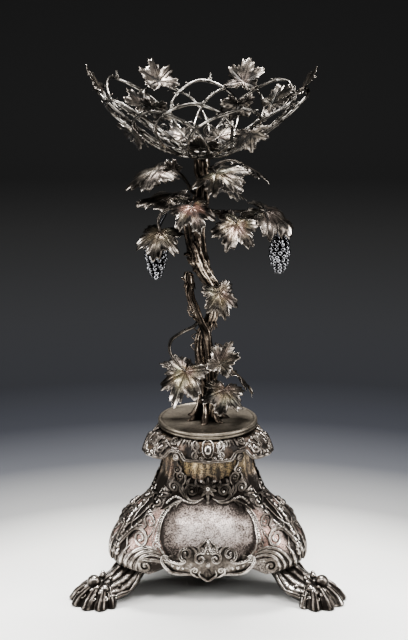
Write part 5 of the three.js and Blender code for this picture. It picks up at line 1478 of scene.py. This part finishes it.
# For each tendril: its start, its axis, its radius, its turns and how far it rises.
curls = [((-12, -24, 466), (0.2, -1, 0.2), 5.0, 1.6, 5), ((6, -25, 466.5), (-0.1, -1, 0.3), 4.6, 1.5, 5),
         ((14, 40, 474), (0, -1, 0.1), 6.8, 1.8, 4), ((-34, 38, 476), (0, -1, 0.1), 6.0, 1.7, 4),
         ((-8, 44, 478), (0.1, -1, 0), 5.0, 1.6, 3), ((30, 38, 486), (0, -1, 0.2), 5.6, 1.6, 4),
         ((-62, -36, 487), (-0.6, -0.6, -0.1), 4.4, 1.5, 10), ((72, -30, 492), (0.6, -0.7, 0), 3.6, 1.5, 7),
         ((-76, 10, 495), (-0.2, -1, 0), 3.6, 1.5, 6), ((66, 28, 490), (0.1, -1, 0), 3.8, 1.5, 6)]
make_piece("hub_tendrils", [tendril(*c) for c in curls], twig_silver, "basket", "twig")
vine_curls = [((-11, -8, 296), (-0.5, -0.6, 0.6), 4.5, 1.7, 8),
              ((-16, -8, 306), (-0.6, -0.7, -0.2), 4.0, 1.6, 7),
              ((-6, 1, 426), (-1, -0.5, 0.4), 4.0, 1.6, 10), ((-9, 2, 404), (0.6, -0.9, -0.3), 4.0, 1.4, 9),
              ((0, -6, 398), (0.8, -0.6, 0), 3.4, 1.5, 7), ((4, -6, 420), (0.8, -0.6, -0.2), 3.6, 1.5, 7),
              ((-15, -9, 291), (-0.15, -0.2, -1), 4.2, 3.5, 34),
              ((8, -6, 262), (0.3, -0.3, -1), 3.0, 2.5, 18)]
make_piece("vine_tendrils", [tendril(*c) for c in vine_curls], bark_silver, "stand", "bark")

# %% [markdown]
# The studio: a pale floor whose colour is painted with a pool of light, pale in front and
# falling off to near black behind, a dim even sky, and large soft lights at both sides,
# overhead and in front. Bright panels and dark gaps between them are what make polished
# metal read as metal.

# %% Studio
def paper_with_painted_falloff():
    """Matt paper whose colour holds a painted pool of light: painted pale under and before the object,
    falling to near black further off. The ramp reads the distance from a point a little in front of the
    feet."""
    made = bpy.data.materials.new("studio_paper_painted_falloff")
    made.use_nodes = True
    tree = made.node_tree
    shader = tree.nodes["Principled BSDF"]
    away = node(tree, "VectorMath", operation="DISTANCE")
    away.inputs[1].default_value = (0.0, -0.3, 0.0)
    tree.links.new(node(tree, "TexCoord").outputs["Object"], away.inputs[0])
    back = node(tree, "MapRange", From_Min=0.0, From_Max=2.0)
    tree.links.new(away.outputs["Value"], back.inputs["Value"])
    grey = lambda v, blue=0.0: (v * (1 - 0.06 * blue), v * (1 - 0.02 * blue), v * (1 + 0.14 * blue))
    # painted light: the paper's own colour falls from pale to near black with distance, turning bluish far
    # off, in place of the lamps' fall-off
    painted_falloff = ramp(tree, [(0.14, grey(0.98, -0.25)), (1.0, grey(0.020)), (0.19, grey(0.76, -0.35)),
                       (0.245, grey(0.215, -0.1)), (0.315, grey(0.057, 0.7)), (0.39, grey(0.0195, 1.2)),
                       (0.48, grey(0.0118, 0.9)), (0.64, grey(0.0155, 0.5))])
    tree.links.new(back.outputs["Result"], painted_falloff.inputs["Fac"])
    tree.links.new(painted_falloff.outputs["Color"], shader.inputs["Base Color"])
    shader.inputs["Roughness"].default_value = 0.9
    shader.inputs["Specular IOR Level"].default_value = 0.0
    return made


bend = np.linspace(0, np.pi / 2, 14)
curve = np.column_stack([2.2 + 0.8 * np.sin(bend), 0.8 - 0.8 * np.cos(bend)])
section = np.concatenate([[(-3.0, 0)], curve, [(3.0, 3.2)]])
paper = bpy.data.meshes.new("studio")
n = len(section)
corners = [(x, y, z - 0.0002) for x in (-3.5, 3.5) for y, z in section]
paper.from_pydata(corners, [], [(k, n + k, n + k + 1, k + 1) for k in range(n - 1)])
paper.polygons.foreach_set("use_smooth", np.ones(n - 1, bool))
paper.materials.append(paper_with_painted_falloff())
studio = bpy.data.objects.new("studio", paper)
bpy.context.scene.collection.objects.link(studio)


def softbox(name, place, aim, size, power):
    """A rectangular light that looks at a point."""
    light = bpy.data.lights.new(name, "AREA")
    light.shape, light.size, light.size_y, light.energy = "RECTANGLE", size[0], size[1], power
    lamp = bpy.data.objects.new(name, light)
    lamp.location = place
    lamp.rotation_euler = Vector(np.array(aim) - place).to_track_quat("-Z", "Y").to_euler()
    bpy.context.scene.collection.objects.link(lamp)


softbox("left_softbox", (-1.15, -0.5, 0.62), (0, 0, 0.28), (0.45, 1.1), 23)
softbox("right_softbox", (1.15, -0.4, 0.6), (0, 0, 0.28), (0.45, 1.1), 26)
softbox("top_softbox", (0, 0.42, 1.75), (0, -0.25, 0), (0.8, 0.35), 96)
softbox("front_left_softbox", (-0.5, -1.1, 1.85), (0, 0, 0.1), (0.35, 0.5), 23)
softbox("front_right_softbox", (0.45, -1.1, 1.85), (0, 0, 0.1), (0.35, 0.5), 25)
sky = bpy.data.worlds.new("dim_sky")
sky.use_nodes = True
sky.node_tree.nodes["Background"].inputs["Color"].default_value = (0.20, 0.205, 0.215, 1)
sky.node_tree.nodes["Background"].inputs["Strength"].default_value = 0.18
bpy.context.scene.world = sky

# %% [markdown]
# The camera stands where the photograph's stood: in front, a little above, looking down
# by about sixteen degrees through a long lens.

# %% Camera
aside, back, height, look_down = -0.004, 1.666, 0.760, 15.9
view = bpy.data.cameras.new("camera")
view.lens, view.sensor_width = 93.86, 36
camera = bpy.data.objects.new("camera", view)
camera.location = (axis[0] + aside, axis[1] - back, height)
camera.rotation_euler = (np.radians(90 - look_down), 0, 0)
bpy.context.scene.collection.objects.link(camera)
bpy.context.scene.camera = camera
